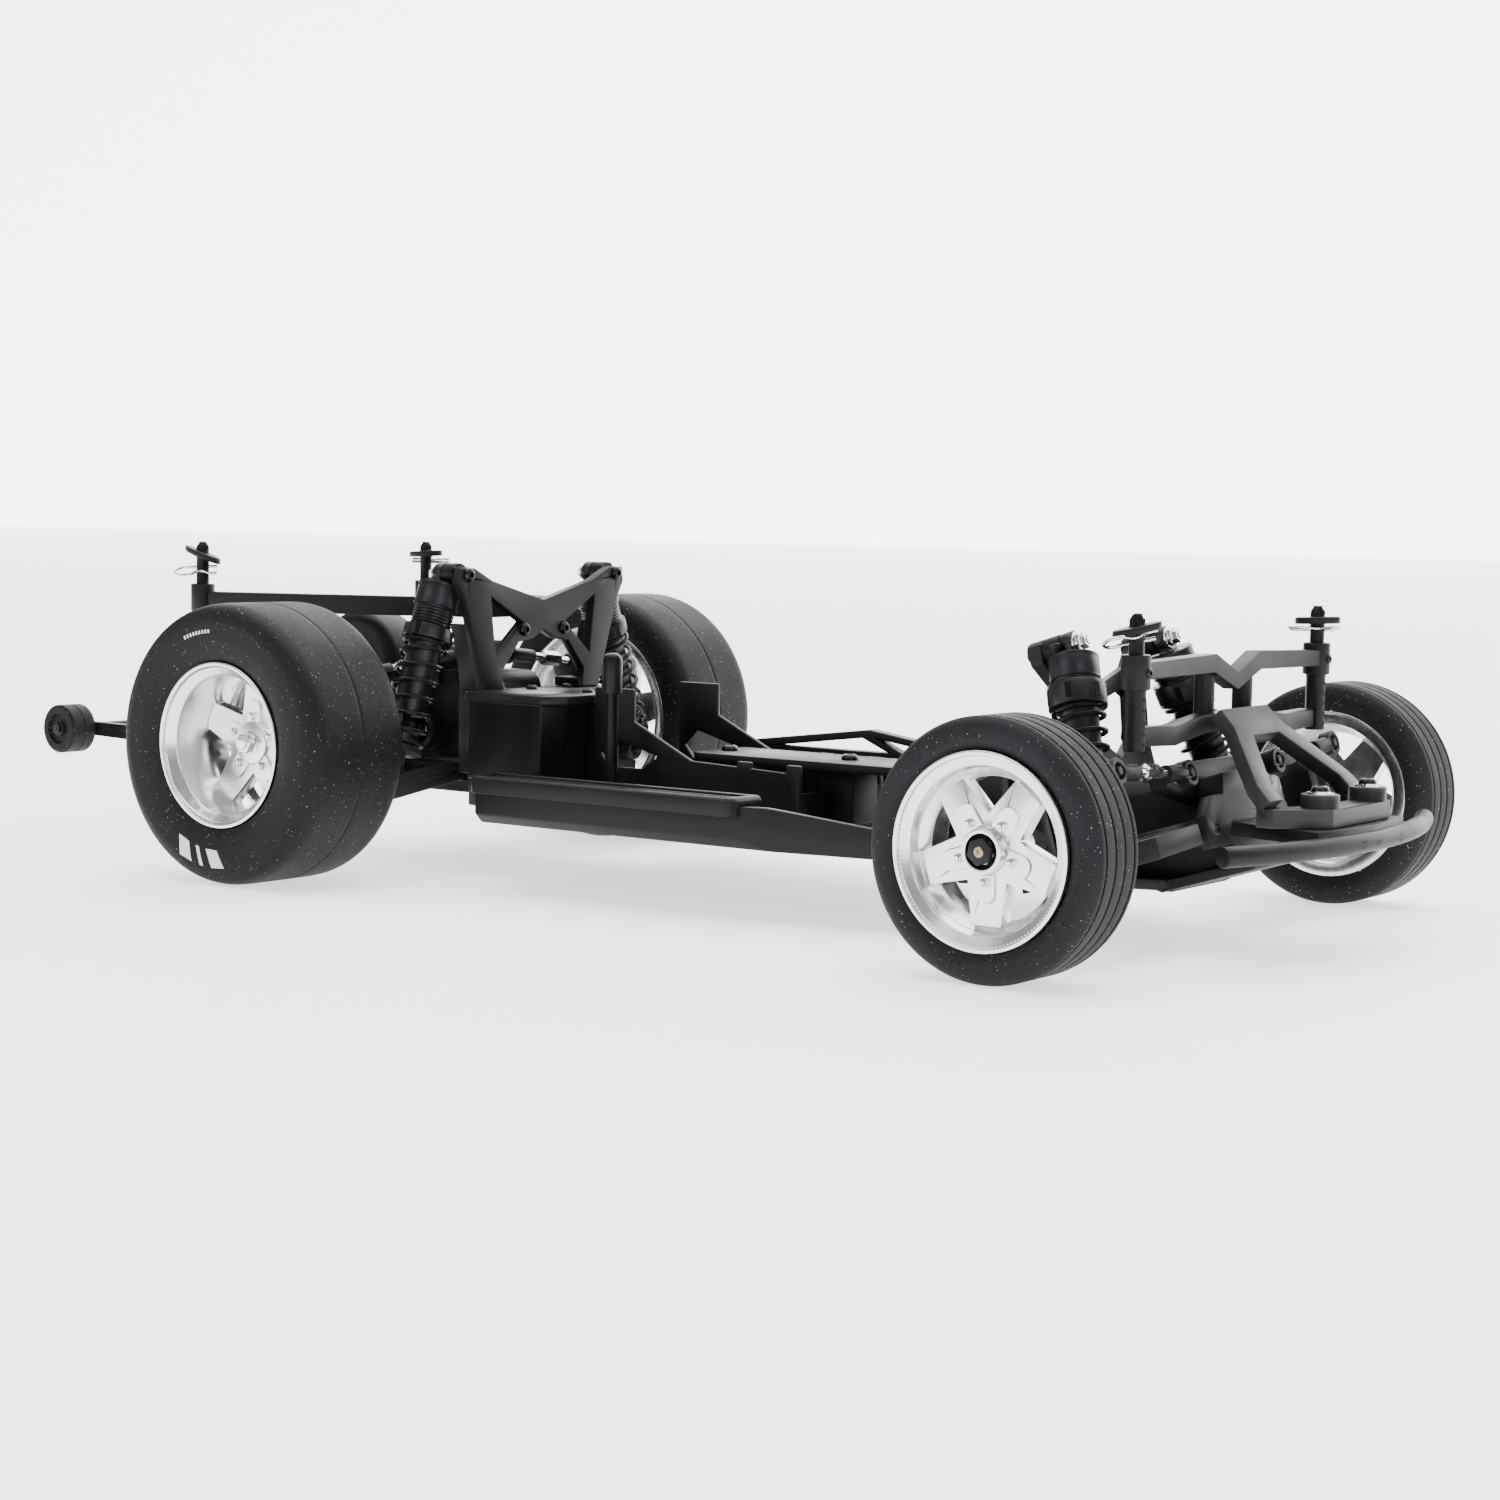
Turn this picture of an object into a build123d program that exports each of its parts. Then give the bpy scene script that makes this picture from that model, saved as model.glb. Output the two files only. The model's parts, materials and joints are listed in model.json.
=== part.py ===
from build123d import *
import os
from math import asin, cos, degrees, hypot, radians, sin

os.makedirs("parts", exist_ok=True)

# A 1/10 scale two-wheel-drive drag racing chassis without its body shell.
# Frame: +X forward, +Y left, +Z up, origin on the ground under the middle of the car. Millimetres.

# ---------------------------------------------------------------- driving dimensions
wheelbase = 330.0
front_axle_x = 235.0
rear_axle_x = front_axle_x - wheelbase
overall_front_x = 305.0
overall_rear_x = -305.0

front_tyre_r = 40.7
front_rim_r = 30.5
front_rim_outer_y = 134.0
front_rim_inner_y = 108.6
rear_tyre_r = 52.2
rear_rim_outer_r = 30.7
rear_rim_inner_r = 38.9
rear_rim_outer_y = 131.0
rear_rim_inner_y = 85.0
front_axle_z = front_tyre_r
rear_axle_z = rear_tyre_r

kick_up = 17.5                     # rearward tilt of the whole front suspension, degrees
pin_r = 1.5                        # hinge pins and shock bolts
running_gap = 0.05                 # radial clearance of turning fits

# front suspension points as (sideways, up) in the tilted plane through the front axle
front_inner_pin = (24.0, -7.0)
front_outer_pin = (84.0, -11.0)
front_link_inner = (32.0, 12.3)
front_link_outer = (78.0, 15.8)
front_link_p = 20.0                # distance of the link ahead of the axle along the tilted axis
front_shock_top = (32.0, 63.5)
front_shock_foot = (50.0, 0.0)
front_shock_p = -9.3
kingpin_y = 100.0
steering_arm = 26.0
tie_rod_shift = 0.63               # mid-way offset that shares the arc of the steering arm
tie_rod_q = 3.5
rack_ball_y = 14.0

# rear suspension points as (sideways, height) in the upright plane through the rear axle
rear_inner_pin = (24.0, 38.0)
rear_outer_pin = (80.0, 32.0)
rear_link_inner = (14.0, 82.0)
rear_link_outer = (70.0, 76.0)
rear_link_d = 13.0
rear_shock_top = (44.4, 115.0)
rear_shock_foot = (72.0, 41.0)
rear_shock_d = 32.8

floor_bottom, floor_top = 25.0, 28.0   # floor of the tub behind the front suspension
nose_bottom, nose_top = 18.0, 21.0     # lower floor under the front suspension
drop_start, drop_end = 157.0, 177.0    # where the floor slopes down to it

spur_x, spur_z = -118.0, 78.0
gear_module = 0.6
spur_teeth = 58
pinion_teeth = 19
spur_pitch_r = spur_teeth * gear_module / 2
pinion_pitch_r = pinion_teeth * gear_module / 2
gear_distance = spur_pitch_r + pinion_pitch_r
motor_angle = 207.0                # direction from the spur shaft to the motor shaft, degrees
motor_x = spur_x + gear_distance * cos(radians(motor_angle))
motor_z = spur_z + gear_distance * sin(radians(motor_angle))
motor_r = 18.0

wheelie_wheel_r = 10.5
wheelie_x = overall_rear_x + wheelie_wheel_r
wheelie_z = 41.7

front_post = (249.3, 65.5, 110.9)  # x, y, top z
rear_post = (-173.3, 65.2, 125.4)

SIDES = ((1, "left"), (-1, "right"))

# ---------------------------------------------------------------- reference planes
tilt = radians(kick_up)
front_axis = Vector(cos(tilt), 0, sin(tilt))
front_up = Vector(-sin(tilt), 0, cos(tilt))
front_origin = Vector(front_axle_x, 0, front_axle_z)
front_plane = Plane(origin=front_origin, x_dir=(0, 1, 0), z_dir=front_axis)
rear_plane = Plane(origin=(rear_axle_x, 0, 0), x_dir=(0, 1, 0), z_dir=(1, 0, 0))


def front_point(p, y, q):
    """A point of the tilted front frame: p ahead of the axle, y to the left, q up."""
    return front_origin + front_axis * p + Vector(0, y, 0) + front_up * q


def rear_point(d, y, z):
    """A point d ahead of the rear axle."""
    return Vector(rear_axle_x + d, y, z)


def save(piece, name):
    piece.part.label = name
    export_step(piece.part, f"parts/{name}.step")
    print(name, len(piece.part.solids()), round(piece.part.volume / 1000, 2))


def rod_plane(start, end, side_dir):
    """A plane at start whose normal points at end and whose x axis is side_dir."""
    return Plane(origin=start, x_dir=side_dir, z_dir=(end - start).normalized())


def disc(plane, radius, height, at=(0, 0), mode=Mode.ADD):
    """A cylinder standing on a plane."""
    with BuildSketch(plane) as outline:
        with Locations(at):
            Circle(radius)
    extrude(outline.sketch, amount=height, mode=mode)


def prism(plane, points, height, mode=Mode.ADD):
    """A straight-sided prism on a plane."""
    with BuildSketch(plane) as outline:
        with BuildLine():
            Polyline(*points, close=True)
        make_face()
    extrude(outline.sketch, amount=height, mode=mode)


def block(x0, x1, y0, y1, z0, z1, mode=Mode.ADD):
    """An upright box between two corners."""
    prism(Plane.XY.offset(z0), [(x0, y0), (x1, y0), (x1, y1), (x0, y1)], z1 - z0, mode)


def keep_side(side):
    """Turns the left-hand piece being built into the right-hand one."""
    if side < 0:
        mirror(about=Plane.XZ, mode=Mode.REPLACE)


# ---------------------------------------------------------------- wheels
def turned(axle_x, axle_z, profile, mode=Mode.ADD):
    """A ring around a wheel axle from (y, radius) points."""
    plane = Plane(origin=(axle_x, 0, axle_z), x_dir=(0, 1, 0), z_dir=(1, 0, 0))
    with BuildSketch(plane) as section:
        with BuildLine():
            Polyline(*profile, close=True)
        make_face()
    revolve(section.sketch, axis=Axis((axle_x, 0, axle_z), (0, 1, 0)), mode=mode)


spoke_hub_half = 7.8                # half the width that a spoke would have at the axle
spoke_rim_half = 5.2                # half its width at the barrel
spoke_count = 5
star_hub_r = 9.5


def star(axle_x, axle_z, y0, y1, reach, first_angle):
    """Five tapered spokes from the hub to the barrel. first_angle is measured from forward, upwards."""
    plane = Plane(origin=(axle_x, y0, axle_z), x_dir=(1, 0, 0), z_dir=(0, 1, 0))
    flip = 1 if plane.y_dir.Z > 0 else -1
    spoke = [(0, -spoke_hub_half), (reach, -spoke_rim_half), (reach, spoke_rim_half), (0, spoke_hub_half)]
    for index in range(spoke_count):
        angle = radians(first_angle + 360 / spoke_count * index)
        turned_spoke = [(a * cos(angle) - b * sin(angle), flip * (a * sin(angle) + b * cos(angle)))
                        for a, b in spoke]
        prism(plane, turned_spoke, y1 - y0)
    disc(plane, star_hub_r, y1 - y0)


front_barrel = [
    (134.0, 30.5), (131.8, 30.5), (130.9, 27.4), (127.0, 26.8), (124.0, 23.8), (117.0, 23.8),
    (112.6, 26.8), (111.0, 27.4), (110.4, 30.5), (108.6, 30.5), (108.6, 28.8), (109.3, 25.8),
    (111.8, 25.2), (116.2, 22.2), (124.8, 22.2), (127.8, 25.2), (131.5, 25.8), (132.7, 28.8), (134.0, 29.0),
]
rear_barrel = [
    (131.0, 30.7), (128.8, 30.7), (127.8, 27.5), (122.0, 26.8), (111.0, 26.2), (100.0, 30.0),
    (93.0, 34.5), (88.0, 35.4), (87.0, 38.9), (85.0, 38.9), (85.0, 37.2), (86.0, 33.8),
    (92.2, 32.9), (98.8, 28.5), (110.6, 24.6), (121.0, 25.2), (126.9, 25.8), (129.5, 28.8), (131.0, 29.2),
]
front_tyre_profile = [
    (108.2, 27.6), (106.0, 33.0), (106.0, 36.5), (108.2, 39.8), (111.0, 40.7),
    (129.6, 40.7), (131.8, 39.8), (133.6, 36.5), (133.4, 33.0), (131.7, 30.6), (130.8, 27.5),
    (127.0, 26.9), (124.0, 23.9), (117.0, 23.9), (112.6, 26.9), (111.1, 27.5), (110.5, 30.6), (108.5, 30.6),
]
rear_tyre_profile = [
    (84.9, 39.0), (83.6, 42.0), (83.6, 47.5), (86.0, 50.8), (89.5, 52.2),
    (126.5, 52.2), (130.2, 50.8), (132.4, 46.5), (132.0, 38.0), (129.4, 30.8), (128.7, 30.8), (127.7, 27.6),
    (122.0, 26.9), (111.0, 26.3), (100.0, 30.1), (93.0, 34.6), (88.0, 35.5), (87.1, 39.0),
]



def front_rim(side):
    with BuildPart() as piece:
        turned(front_axle_x, front_axle_z, front_barrel)
        star(front_axle_x, front_axle_z, 123.0, 128.5, 23.0, -90.0)
        hub = Plane(origin=(front_axle_x, 112.0, front_axle_z), x_dir=(1, 0, 0), z_dir=(0, 1, 0))
        disc(hub, 7.0, 18.6)
        disc(hub.offset(18.6), 7.0, 1.9)
        disc(hub.offset(18.6), 5.4, 1.9, mode=Mode.SUBTRACT)
        disc(hub.offset(-2), 2.5 + running_gap, 24, mode=Mode.SUBTRACT)
        keep_side(side)
    return piece


def rear_rim(side):
    with BuildPart() as piece:
        turned(rear_axle_x, rear_axle_z, rear_barrel)
        star(rear_axle_x, rear_axle_z, 106.5, 112.0, 25.2, 15.0)
        hub = Plane(origin=(rear_axle_x, 98.0, rear_axle_z), x_dir=(1, 0, 0), z_dir=(0, 1, 0))
        disc(hub, 8.0, 16.0)
        # stub axle that carries the wheel, with its drive cup inside the hub carrier
        axle = Plane(origin=(rear_axle_x, 71.0, rear_axle_z), x_dir=(1, 0, 0), z_dir=(0, 1, 0))
        disc(axle, 2.5, 48.0)
        cup = axle.offset(-13.0)
        disc(cup, 6.6, 15.0)
        disc(cup, 5.3, 13.4, mode=Mode.SUBTRACT)
        with BuildSketch(hub.offset(16.0)):
            RegularPolygon(4.0, 6)
        extrude(amount=4.0)
        keep_side(side)
    return piece


def tyre(side, axle_x, axle_z, profile, grooves):
    with BuildPart() as piece:
        turned(axle_x, axle_z, profile)
        for y, radius, width in grooves:
            ring = [(y - width / 2, radius - 1.0), (y + width / 2, radius - 1.0),
                    (y + width / 2, radius + 1.0), (y - width / 2, radius + 1.0)]
            turned(axle_x, axle_z, ring, Mode.SUBTRACT)
        keep_side(side)
    return piece


# ---------------------------------------------------------------- suspension arms
press_r = pin_r + 0.02             # holes that grip a pin


def plane_along(point, direction, side_dir=(0, 1, 0)):
    return Plane(origin=point, x_dir=side_dir, z_dir=direction)


def arm_plane(point, inner, outer):
    """The plane of a lower arm: x outward from the inner pin, y backward, z up."""
    start = point(0, *inner)
    out = (point(0, *outer) - start).normalized()
    forward = (point(1, 0, 0) - point(0, 0, 0)).normalized()
    return Plane(origin=start, x_dir=out, z_dir=forward.cross(out))


def pin_line(point, place, back, front):
    """A plane at the back end of a pin, its normal pointing forward, and the pin's length."""
    start = point(back, *place)
    forward = (point(1, 0, 0) - point(0, 0, 0)).normalized()
    return plane_along(start, forward), front - back


def through(point, place, back, front, radius, mode=Mode.ADD):
    plane, length = pin_line(point, place, back, front)
    disc(plane, radius, length, mode=mode)


def lower_arm(side, point, inner, outer, outline, windows, barrel, ears, shock_foot, shock_p, lug):
    """A lower arm with its two hinge pins. Distances along the car are given as p, forward positive."""
    length = hypot(outer[0] - inner[0], outer[1] - inner[1])
    plane = arm_plane(point, inner, outer)
    thick = 7.0
    with BuildPart() as piece:
        prism(plane.offset(-thick / 2), [(x, -p) for x, p in outline], thick)
        for window in windows:
            prism(plane.offset(-6), [(x, -p) for x, p in window], 12, Mode.SUBTRACT)
        through(point, inner, barrel[0], barrel[1], 4.6)
        through(point, outer, -ears[1], ears[1], 4.4)
        fork = [(length - 7.6, ears[0]), (length + 8, ears[0]), (length + 8, -ears[0]),
                (length - 7.6, -ears[0])]
        prism(plane.offset(-8), fork, 16, Mode.SUBTRACT)
        ear_plane = plane_along(point(lug[0], *shock_foot), (point(1, 0, 0) - point(0, 0, 0)).normalized())
        prism(ear_plane, [(-7, lug[2]), (-4.4, 0), (-3, 3.6), (3, 3.6), (4.4, 0), (7, lug[2])],
              lug[1] - lug[0])
        through(point, inner, barrel[0] - 6, barrel[1] + 6, press_r, Mode.SUBTRACT)
        through(point, outer, -ears[1] - 1, ears[1] + 1, press_r, Mode.SUBTRACT)
        through(point, shock_foot, min(shock_p, lug[0]) - 4, max(shock_p, lug[1]) + 4, press_r,
                Mode.SUBTRACT)
        through(point, inner, barrel[0] - 4.6, barrel[1] + 4.6, pin_r)
        through(point, outer, -ears[1], ears[1], pin_r)
        lug_face = lug[0] if lug[0] > shock_p else lug[1]
        bolt_tip = shock_p + (shock_p - (lug[0] + lug[1]) / 2) * 0.72
        through(point, shock_foot, min(lug_face, bolt_tip), max(lug_face, bolt_tip), pin_r)
        keep_side(side)
    return piece


def front_arm(side):
    outline = [(0, 17), (7.4, 17), (10, 21), (40, 21), (52.6, 12.6), (60, 12.6), (60, -12.6),
               (52.6, -12.6), (38, -19),
               (8, -17), (0, -17)]
    windows = [[(12, 4), (12, 13), (40, 13), (46, 6), (46, 4)], [(12, -4), (46, -4), (40, -12), (12, -10)]]
    return lower_arm(side, front_point, front_inner_pin, front_outer_pin, outline, windows,
                     (-17, 17), (8.3, 12.6), front_shock_foot, front_shock_p, (-5.4, -0.4, -9.5))


def rear_arm(side):
    outline = [(0, 26), (36, 29), (54, 30.5), (54, 22), (56.3, 13), (56.3, -13), (48, -15), (0, -26)]
    windows = [[(10, 3), (10, 19), (40, 21), (46, 3)], [(10, -3), (46, -3), (42, -10), (10, -19)]]
    return lower_arm(side, rear_point, rear_inner_pin, rear_outer_pin, outline, windows,
                     (-27, 25.5), (8.3, 13.0), rear_shock_foot, rear_shock_d, (24.0, 29.2, -8.0))


def caster_block(side):
    """The C-shaped block between a front arm and its steering knuckle."""
    up = Plane(origin=front_origin, x_dir=(0, 1, 0), z_dir=front_axis)
    with BuildPart() as piece:
        web = [(86, -14.5), (105, -14.5), (105, -11), (91.5, -11), (91.5, 11), (105, 11), (105, 14.5),
               (74.5, 18.6),
               (73.2, 14.6), (86, 9)]
        prism(up.offset(-6), web, 12)
        prism(up.offset(5.9), [(74.5, 18.6), (73.2, 14.6), (79, 12.4), (84, 12.0), (84, 15.9)], 8.1)
        through(front_point, front_outer_pin, -8, 8, 4.4)
        through(front_point, front_outer_pin, -10, 10, pin_r + running_gap, Mode.SUBTRACT)
        post = plane_along(front_point(0, kingpin_y, -20), front_up)
        disc(post, 2.0 + running_gap, 40, mode=Mode.SUBTRACT)
        through(front_point, front_link_outer, 13.9, front_link_p + 2.6, 1.4)
        with Locations(front_point(front_link_p, *front_link_outer)):
            Sphere(2.4)
        keep_side(side)
    return piece


def steering_knuckle(side):
    """The knuckle with its kingpins, fixed axle and steering arm."""
    post = plane_along(front_point(0, kingpin_y, -10.8), front_up)
    sideways = Plane(origin=front_point(0, kingpin_y, 0), x_dir=front_axis, z_dir=(0, 1, 0))
    with BuildPart() as piece:
        disc(post, 5.4, 21.6)
        disc(post.offset(-3.9), 2.0, 29.4)
        disc(sideways, 5.2, 10.5)
        disc(sideways, 2.5, 33.6)
        with BuildSketch(sideways.offset(30.7)):
            RegularPolygon(4.4, 6)
        extrude(amount=2.9)
        arm = plane_along(front_point(0, kingpin_y, -3.6), front_up)
        prism(arm, [(-4, 0), (-3.2, steering_arm + 3), (3.2, steering_arm + 3), (4, 0)], 3.2)
        stud = plane_along(front_point(-steering_arm, kingpin_y, -0.6), front_up)
        disc(stud, 1.3, 4.0)
        with Locations(front_point(-steering_arm, kingpin_y, tie_rod_q)):
            Sphere(2.4)
        keep_side(side)
    return piece


def rear_hub(side):
    """The rear hub carrier with its bearing housing and link arm."""
    up = rear_plane
    with BuildPart() as piece:
        profile = [(76.5, 32), (84, 32), (84, 61), (79, 62), (74, 78.5), (66.5, 78.5), (66.5, 73.5), (71, 62),
                   (72, 60), (75.2, 37.8)]
        prism(up.offset(-6), profile, 12)
        housing = Plane(origin=(rear_axle_x, 71.6, rear_axle_z), x_dir=(1, 0, 0), z_dir=(0, 1, 0))
        disc(housing, 9.5, 12.0)
        through(rear_point, rear_outer_pin, -8, 8, 4.4)
        through(rear_point, rear_outer_pin, -10, 10, pin_r + running_gap, Mode.SUBTRACT)
        disc(housing.offset(-20), 2.5 + running_gap, 50, mode=Mode.SUBTRACT)
        disc(housing.offset(-14), 7.4, 16.0, mode=Mode.SUBTRACT)
        through(rear_point, rear_link_outer, 5.9, rear_link_d + 2.6, 1.4)
        with Locations(rear_point(rear_link_d, *rear_link_outer)):
            Sphere(2.4)
        keep_side(side)
    return piece


# ---------------------------------------------------------------- shocks and springs
shock_sizes = {
    "front": dict(point=front_point, p=front_shock_p, top=front_shock_top, foot=front_shock_foot,
                  cap=(4.6, 13.0, 8.4), collar=(14.6, 22.6, 9.8), tube_end=46.0, perch=56.0, rod_in=12.0,
                  bore=22.0),
    "rear": dict(point=rear_point, p=rear_shock_d, top=rear_shock_top, foot=rear_shock_foot,
                 cap=(4.6, 14.0, 8.2), collar=(22.0, 27.0, 9.4), tube_end=56.0, perch=69.0, rod_in=14.0,
                 bore=23.0),
}
eye_half = 2.0
tube_r = 6.5
spring_outer_r = 9.2
spring_inner_r = 7.5


def shock_line(size):
    """The plane at the upper eye that looks down the shock, and the distance between its eyes."""
    top = size["point"](size["p"], *size["top"])
    foot = size["point"](size["p"], *size["foot"])
    forward = (size["point"](1, 0, 0) - size["point"](0, 0, 0)).normalized()
    return rod_plane(top, foot, forward), (foot - top).length, forward


def shock_body(side, size):
    plane, length, forward = shock_line(size)
    cap_top, cap_end, cap_r = size["cap"]
    collar_top, collar_end, collar_r = size["collar"]
    with BuildPart() as piece:
        eye = Plane(origin=plane.origin - forward * eye_half, x_dir=plane.z_dir, z_dir=forward)
        disc(eye, 4.4, 2 * eye_half)
        prism(eye, [(0, -3.6), (cap_top + 0.6, -3.6), (cap_top + 0.6, 3.6), (0, 3.6)], 2 * eye_half)
        disc(plane.offset(cap_top), cap_r, cap_end - cap_top)
        disc(plane.offset(cap_end), cap_r - 0.8, collar_top - cap_end)
        disc(plane.offset(collar_top), collar_r, collar_end - collar_top)
        disc(plane.offset(collar_end), tube_r, size["tube_end"] - collar_end)
        disc(eye.offset(-1), pin_r + running_gap, 2 * eye_half + 2, mode=Mode.SUBTRACT)
        disc(plane.offset(size["tube_end"] - size["bore"]), 1.7, size["bore"] + 1, mode=Mode.SUBTRACT)
        keep_side(side)
    return piece


def shock_rod(side, size):
    plane, length, forward = shock_line(size)
    with BuildPart() as piece:
        disc(plane.offset(size["tube_end"] - size["rod_in"]), 1.6,
             length - 3 - size["tube_end"] + size["rod_in"])
        disc(plane.offset(size["perch"]), 9.0, 2.4)
        disc(plane.offset(size["perch"] + 2.4), 3.2, length - 3.4 - size["perch"] - 2.4)
        eye = Plane(origin=plane.origin + plane.z_dir * length - forward * eye_half, x_dir=plane.z_dir,
                    z_dir=forward)
        disc(eye, 4.4, 2 * eye_half)
        disc(eye.offset(-1), pin_r + 0.5, 2 * eye_half + 2, mode=Mode.SUBTRACT)
        keep_side(side)
    return piece


def shock_spring(side, size):
    plane, length, forward = shock_line(size)
    start = size["collar"][1] + 0.1
    with BuildPart() as piece:
        disc(plane.offset(start), spring_outer_r, size["perch"] - 0.1 - start)
        disc(plane.offset(start - 1), spring_inner_r, size["perch"] + 2 - start, mode=Mode.SUBTRACT)
        keep_side(side)
    return piece


# ---------------------------------------------------------------- links
ball_clear = 0.35


def link(side, start, end, ring_axis, hole_r, rod_r=2.0):
    """A turnbuckle link with a ring end on each ball; ring_axis is the direction of the ball studs."""
    plane = rod_plane(start, end, ring_axis)
    length = (end - start).length
    with BuildPart() as piece:
        disc(plane, 2.7, 0.30 * length)
        disc(plane.offset(0.70 * length), 2.7, 0.30 * length)
        disc(plane.offset(0.28 * length), rod_r * 0.8, 0.44 * length)
        with BuildSketch(plane.offset(0.42 * length)) as hexagon:
            RegularPolygon(2.7, 6)
        extrude(hexagon.sketch, amount=0.16 * length)
        for point in (start, end):
            ring = Plane(origin=point - ring_axis * 2.2, x_dir=plane.z_dir, z_dir=ring_axis)
            disc(ring, hole_r + 1.6, 4.4)
            disc(ring.offset(-2), hole_r, 8.4, mode=Mode.SUBTRACT)
        keep_side(side)
    return piece


def front_link(side):
    start = front_point(front_link_p, *front_link_inner)
    end = front_point(front_link_p, *front_link_outer)
    return link(side, start, end, front_axis, 2.4 + ball_clear)


def rear_link(side):
    start = rear_point(rear_link_d, *rear_link_inner)
    end = rear_point(rear_link_d, *rear_link_outer)
    return link(side, start, end, Vector(1, 0, 0), 2.4 + ball_clear)


def tie_rod(side):
    start = front_point(-steering_arm + tie_rod_shift, rack_ball_y, tie_rod_q)
    end = front_point(-steering_arm + tie_rod_shift, kingpin_y, tie_rod_q)
    return link(side, start, end, front_up, 2.4 + 0.95)


# ---------------------------------------------------------------- steering
horn_x = 195.6
horn_z = 52.0
horn_reach = 18.0


def steering_rack():
    """The sliding cross bar with a ball for each tie rod and a slotted tongue for the servo horn."""
    with BuildPart() as piece:
        bar = plane_along(front_point(-23.0, -20, -7), front_up)
        prism(bar, [(0, 0), (40, 0), (40, 7), (0, 7)], 3.6)
        for side in (1, -1):
            stud = plane_along(front_point(-steering_arm, side * rack_ball_y, -3.6), front_up)
            disc(stud, 1.3, 7.0)
            with Locations(front_point(-steering_arm, side * rack_ball_y, tie_rod_q)):
                Sphere(2.4)
        block(200.4, 208.6, -5, 5, 24.6, 27.2)
        block(200.4, 203.2, -5, 5, 24.6, 41.0)
        slot = Plane(origin=(199.0, 0, horn_z - horn_reach), x_dir=(0, 1, 0), z_dir=(1, 0, 0))
        with BuildSketch(slot):
            SlotOverall(9.0, 3.5, rotation=90)
        extrude(amount=6, mode=Mode.SUBTRACT)
    return piece


def servo_horn():
    """The servo horn, turning on the servo's output spline."""
    face = Plane(origin=(horn_x, 0, horn_z), x_dir=(0, 1, 0), z_dir=(1, 0, 0))
    with BuildPart() as piece:
        disc(face, 5.0, 3.0)
        prism(face, [(-4.5, 0), (-2.8, -horn_reach), (2.8, -horn_reach), (4.5, 0)], 3.0)
        disc(face, 2.8, 3.0, at=(0, -horn_reach))
        disc(face.offset(2.8), 1.5, 5.4, at=(0, -horn_reach))
        disc(face.offset(-1), 2.5 + running_gap, 3.0, mode=Mode.SUBTRACT)
    return piece


def steering_servo():
    with BuildPart() as piece:
        block(157.0, 194.6, -30.0, 10.0, 42.0, 62.0)
        fillet(piece.edges().filter_by(Axis.X), 1.5)
        block(184.0, 186.6, -36.5, 16.5, 43.0, 61.0)
        shaft = Plane(origin=(194.5, 0, horn_z), x_dir=(0, 1, 0), z_dir=(1, 0, 0))
        disc(shaft, 6.0, 0.8)
        disc(shaft, 2.5, 2.9)
    return piece


# ---------------------------------------------------------------- front frame
tower_back_p = -24.5
tower_front_p = -14.5
brace_screws = ((291.0, 18.1), (291.0, -18.1))


def front_bulkhead():
    """The tilted block that holds the front arms, the links, the tower and the bumper."""
    up = front_plane
    with BuildPart() as piece:
        prism(up.offset(-19), [(-16, -19.3), (16, -19.3), (16, 0), (11, 11), (-11, 11), (-16, 0)], 41)
        for p, top in ((-22.0, 0.4), (17.6, 4.0)):
            prism(up.offset(p), [(-30, -13), (30, -13), (30, -2.2), (22, top), (-22, top), (-30, -2.2)],
                  4.4)
        prism(up.offset(8.0), [(-36, 16.5), (-36, 9.4), (-11, 2), (11, 2), (36, 9.4), (36, 16.5),
                               (20, 17), (-20, 17)], 5.2)
        for side in (1, -1):
            place = (side * front_inner_pin[0], front_inner_pin[1])
            through(front_point, place, -23, 23, pin_r + running_gap, Mode.SUBTRACT)
            place = (side * front_link_inner[0], front_link_inner[1])
            through(front_point, place, 13.1, front_link_p + 2.6, 1.4)
            with Locations(front_point(front_link_p, *place)):
                Sphere(2.4)
        block(180.0, 241.0, -32.0, 32.0, 0.0, nose_top + 1.06, Mode.SUBTRACT)
    return piece


def front_tower():
    """The front shock tower, a leaning plate with two deep ears for the shock bolts."""
    up = front_plane
    ear_y, ear_q = front_shock_top
    half = [(0, 52.0), (20, 57.5), (30, 66.5), (36.5, 66.5), (37.5, 60.0), (29.0, 51.0), (21.5, 30.0),
            (21.5, 18.0)]
    outline = half + [(-y, q) for y, q in reversed(half[1:])]
    with BuildPart() as piece:
        prism(up.offset(tower_back_p + 1.0), outline, 5.0)
        for side in (1, -1):
            disc(up.offset(tower_back_p), 4.4, 12.4, at=(side * ear_y, ear_q))
            leg = [(side * 12.0, 18.0), (side * 21.5, 18.0), (side * 21.5, 30.0), (side * 26.0, 45.0),
                   (side * 22.0, 47.0), (side * 12.0, 33.0)]
            prism(up.offset(tower_back_p), leg, 5.0)
        window = [(0, 46.5), (13, 49.5), (16.5, 47.0), (11.5, 32.0), (0, 25.0), (-11.5, 32.0),
                  (-16.5, 47.0), (-13, 49.5)]
        prism(up.offset(tower_back_p - 2), window, 16, Mode.SUBTRACT)
        for side in (1, -1):
            through(front_point, (side * ear_y, ear_q), -30, 0, press_r, Mode.SUBTRACT)
        prism(up.offset(tower_back_p + 0.5), [(-16, 5.0), (16, 5.0), (21.5, 18.0), (-21.5, 18.0)], 8.5)
        prism(up.offset(tower_back_p - 0.5), [(-30, -20), (30, -20), (30, 6.6), (-30, 6.6)], 12,
              Mode.SUBTRACT)
        prism(up.offset(-19.05), [(-16.2, -20), (16.2, -20), (16.2, 0), (11.1, 11.05), (-11.1, 11.05),
                                  (-16.2, 0)],
              12, Mode.SUBTRACT)
    return piece


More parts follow.
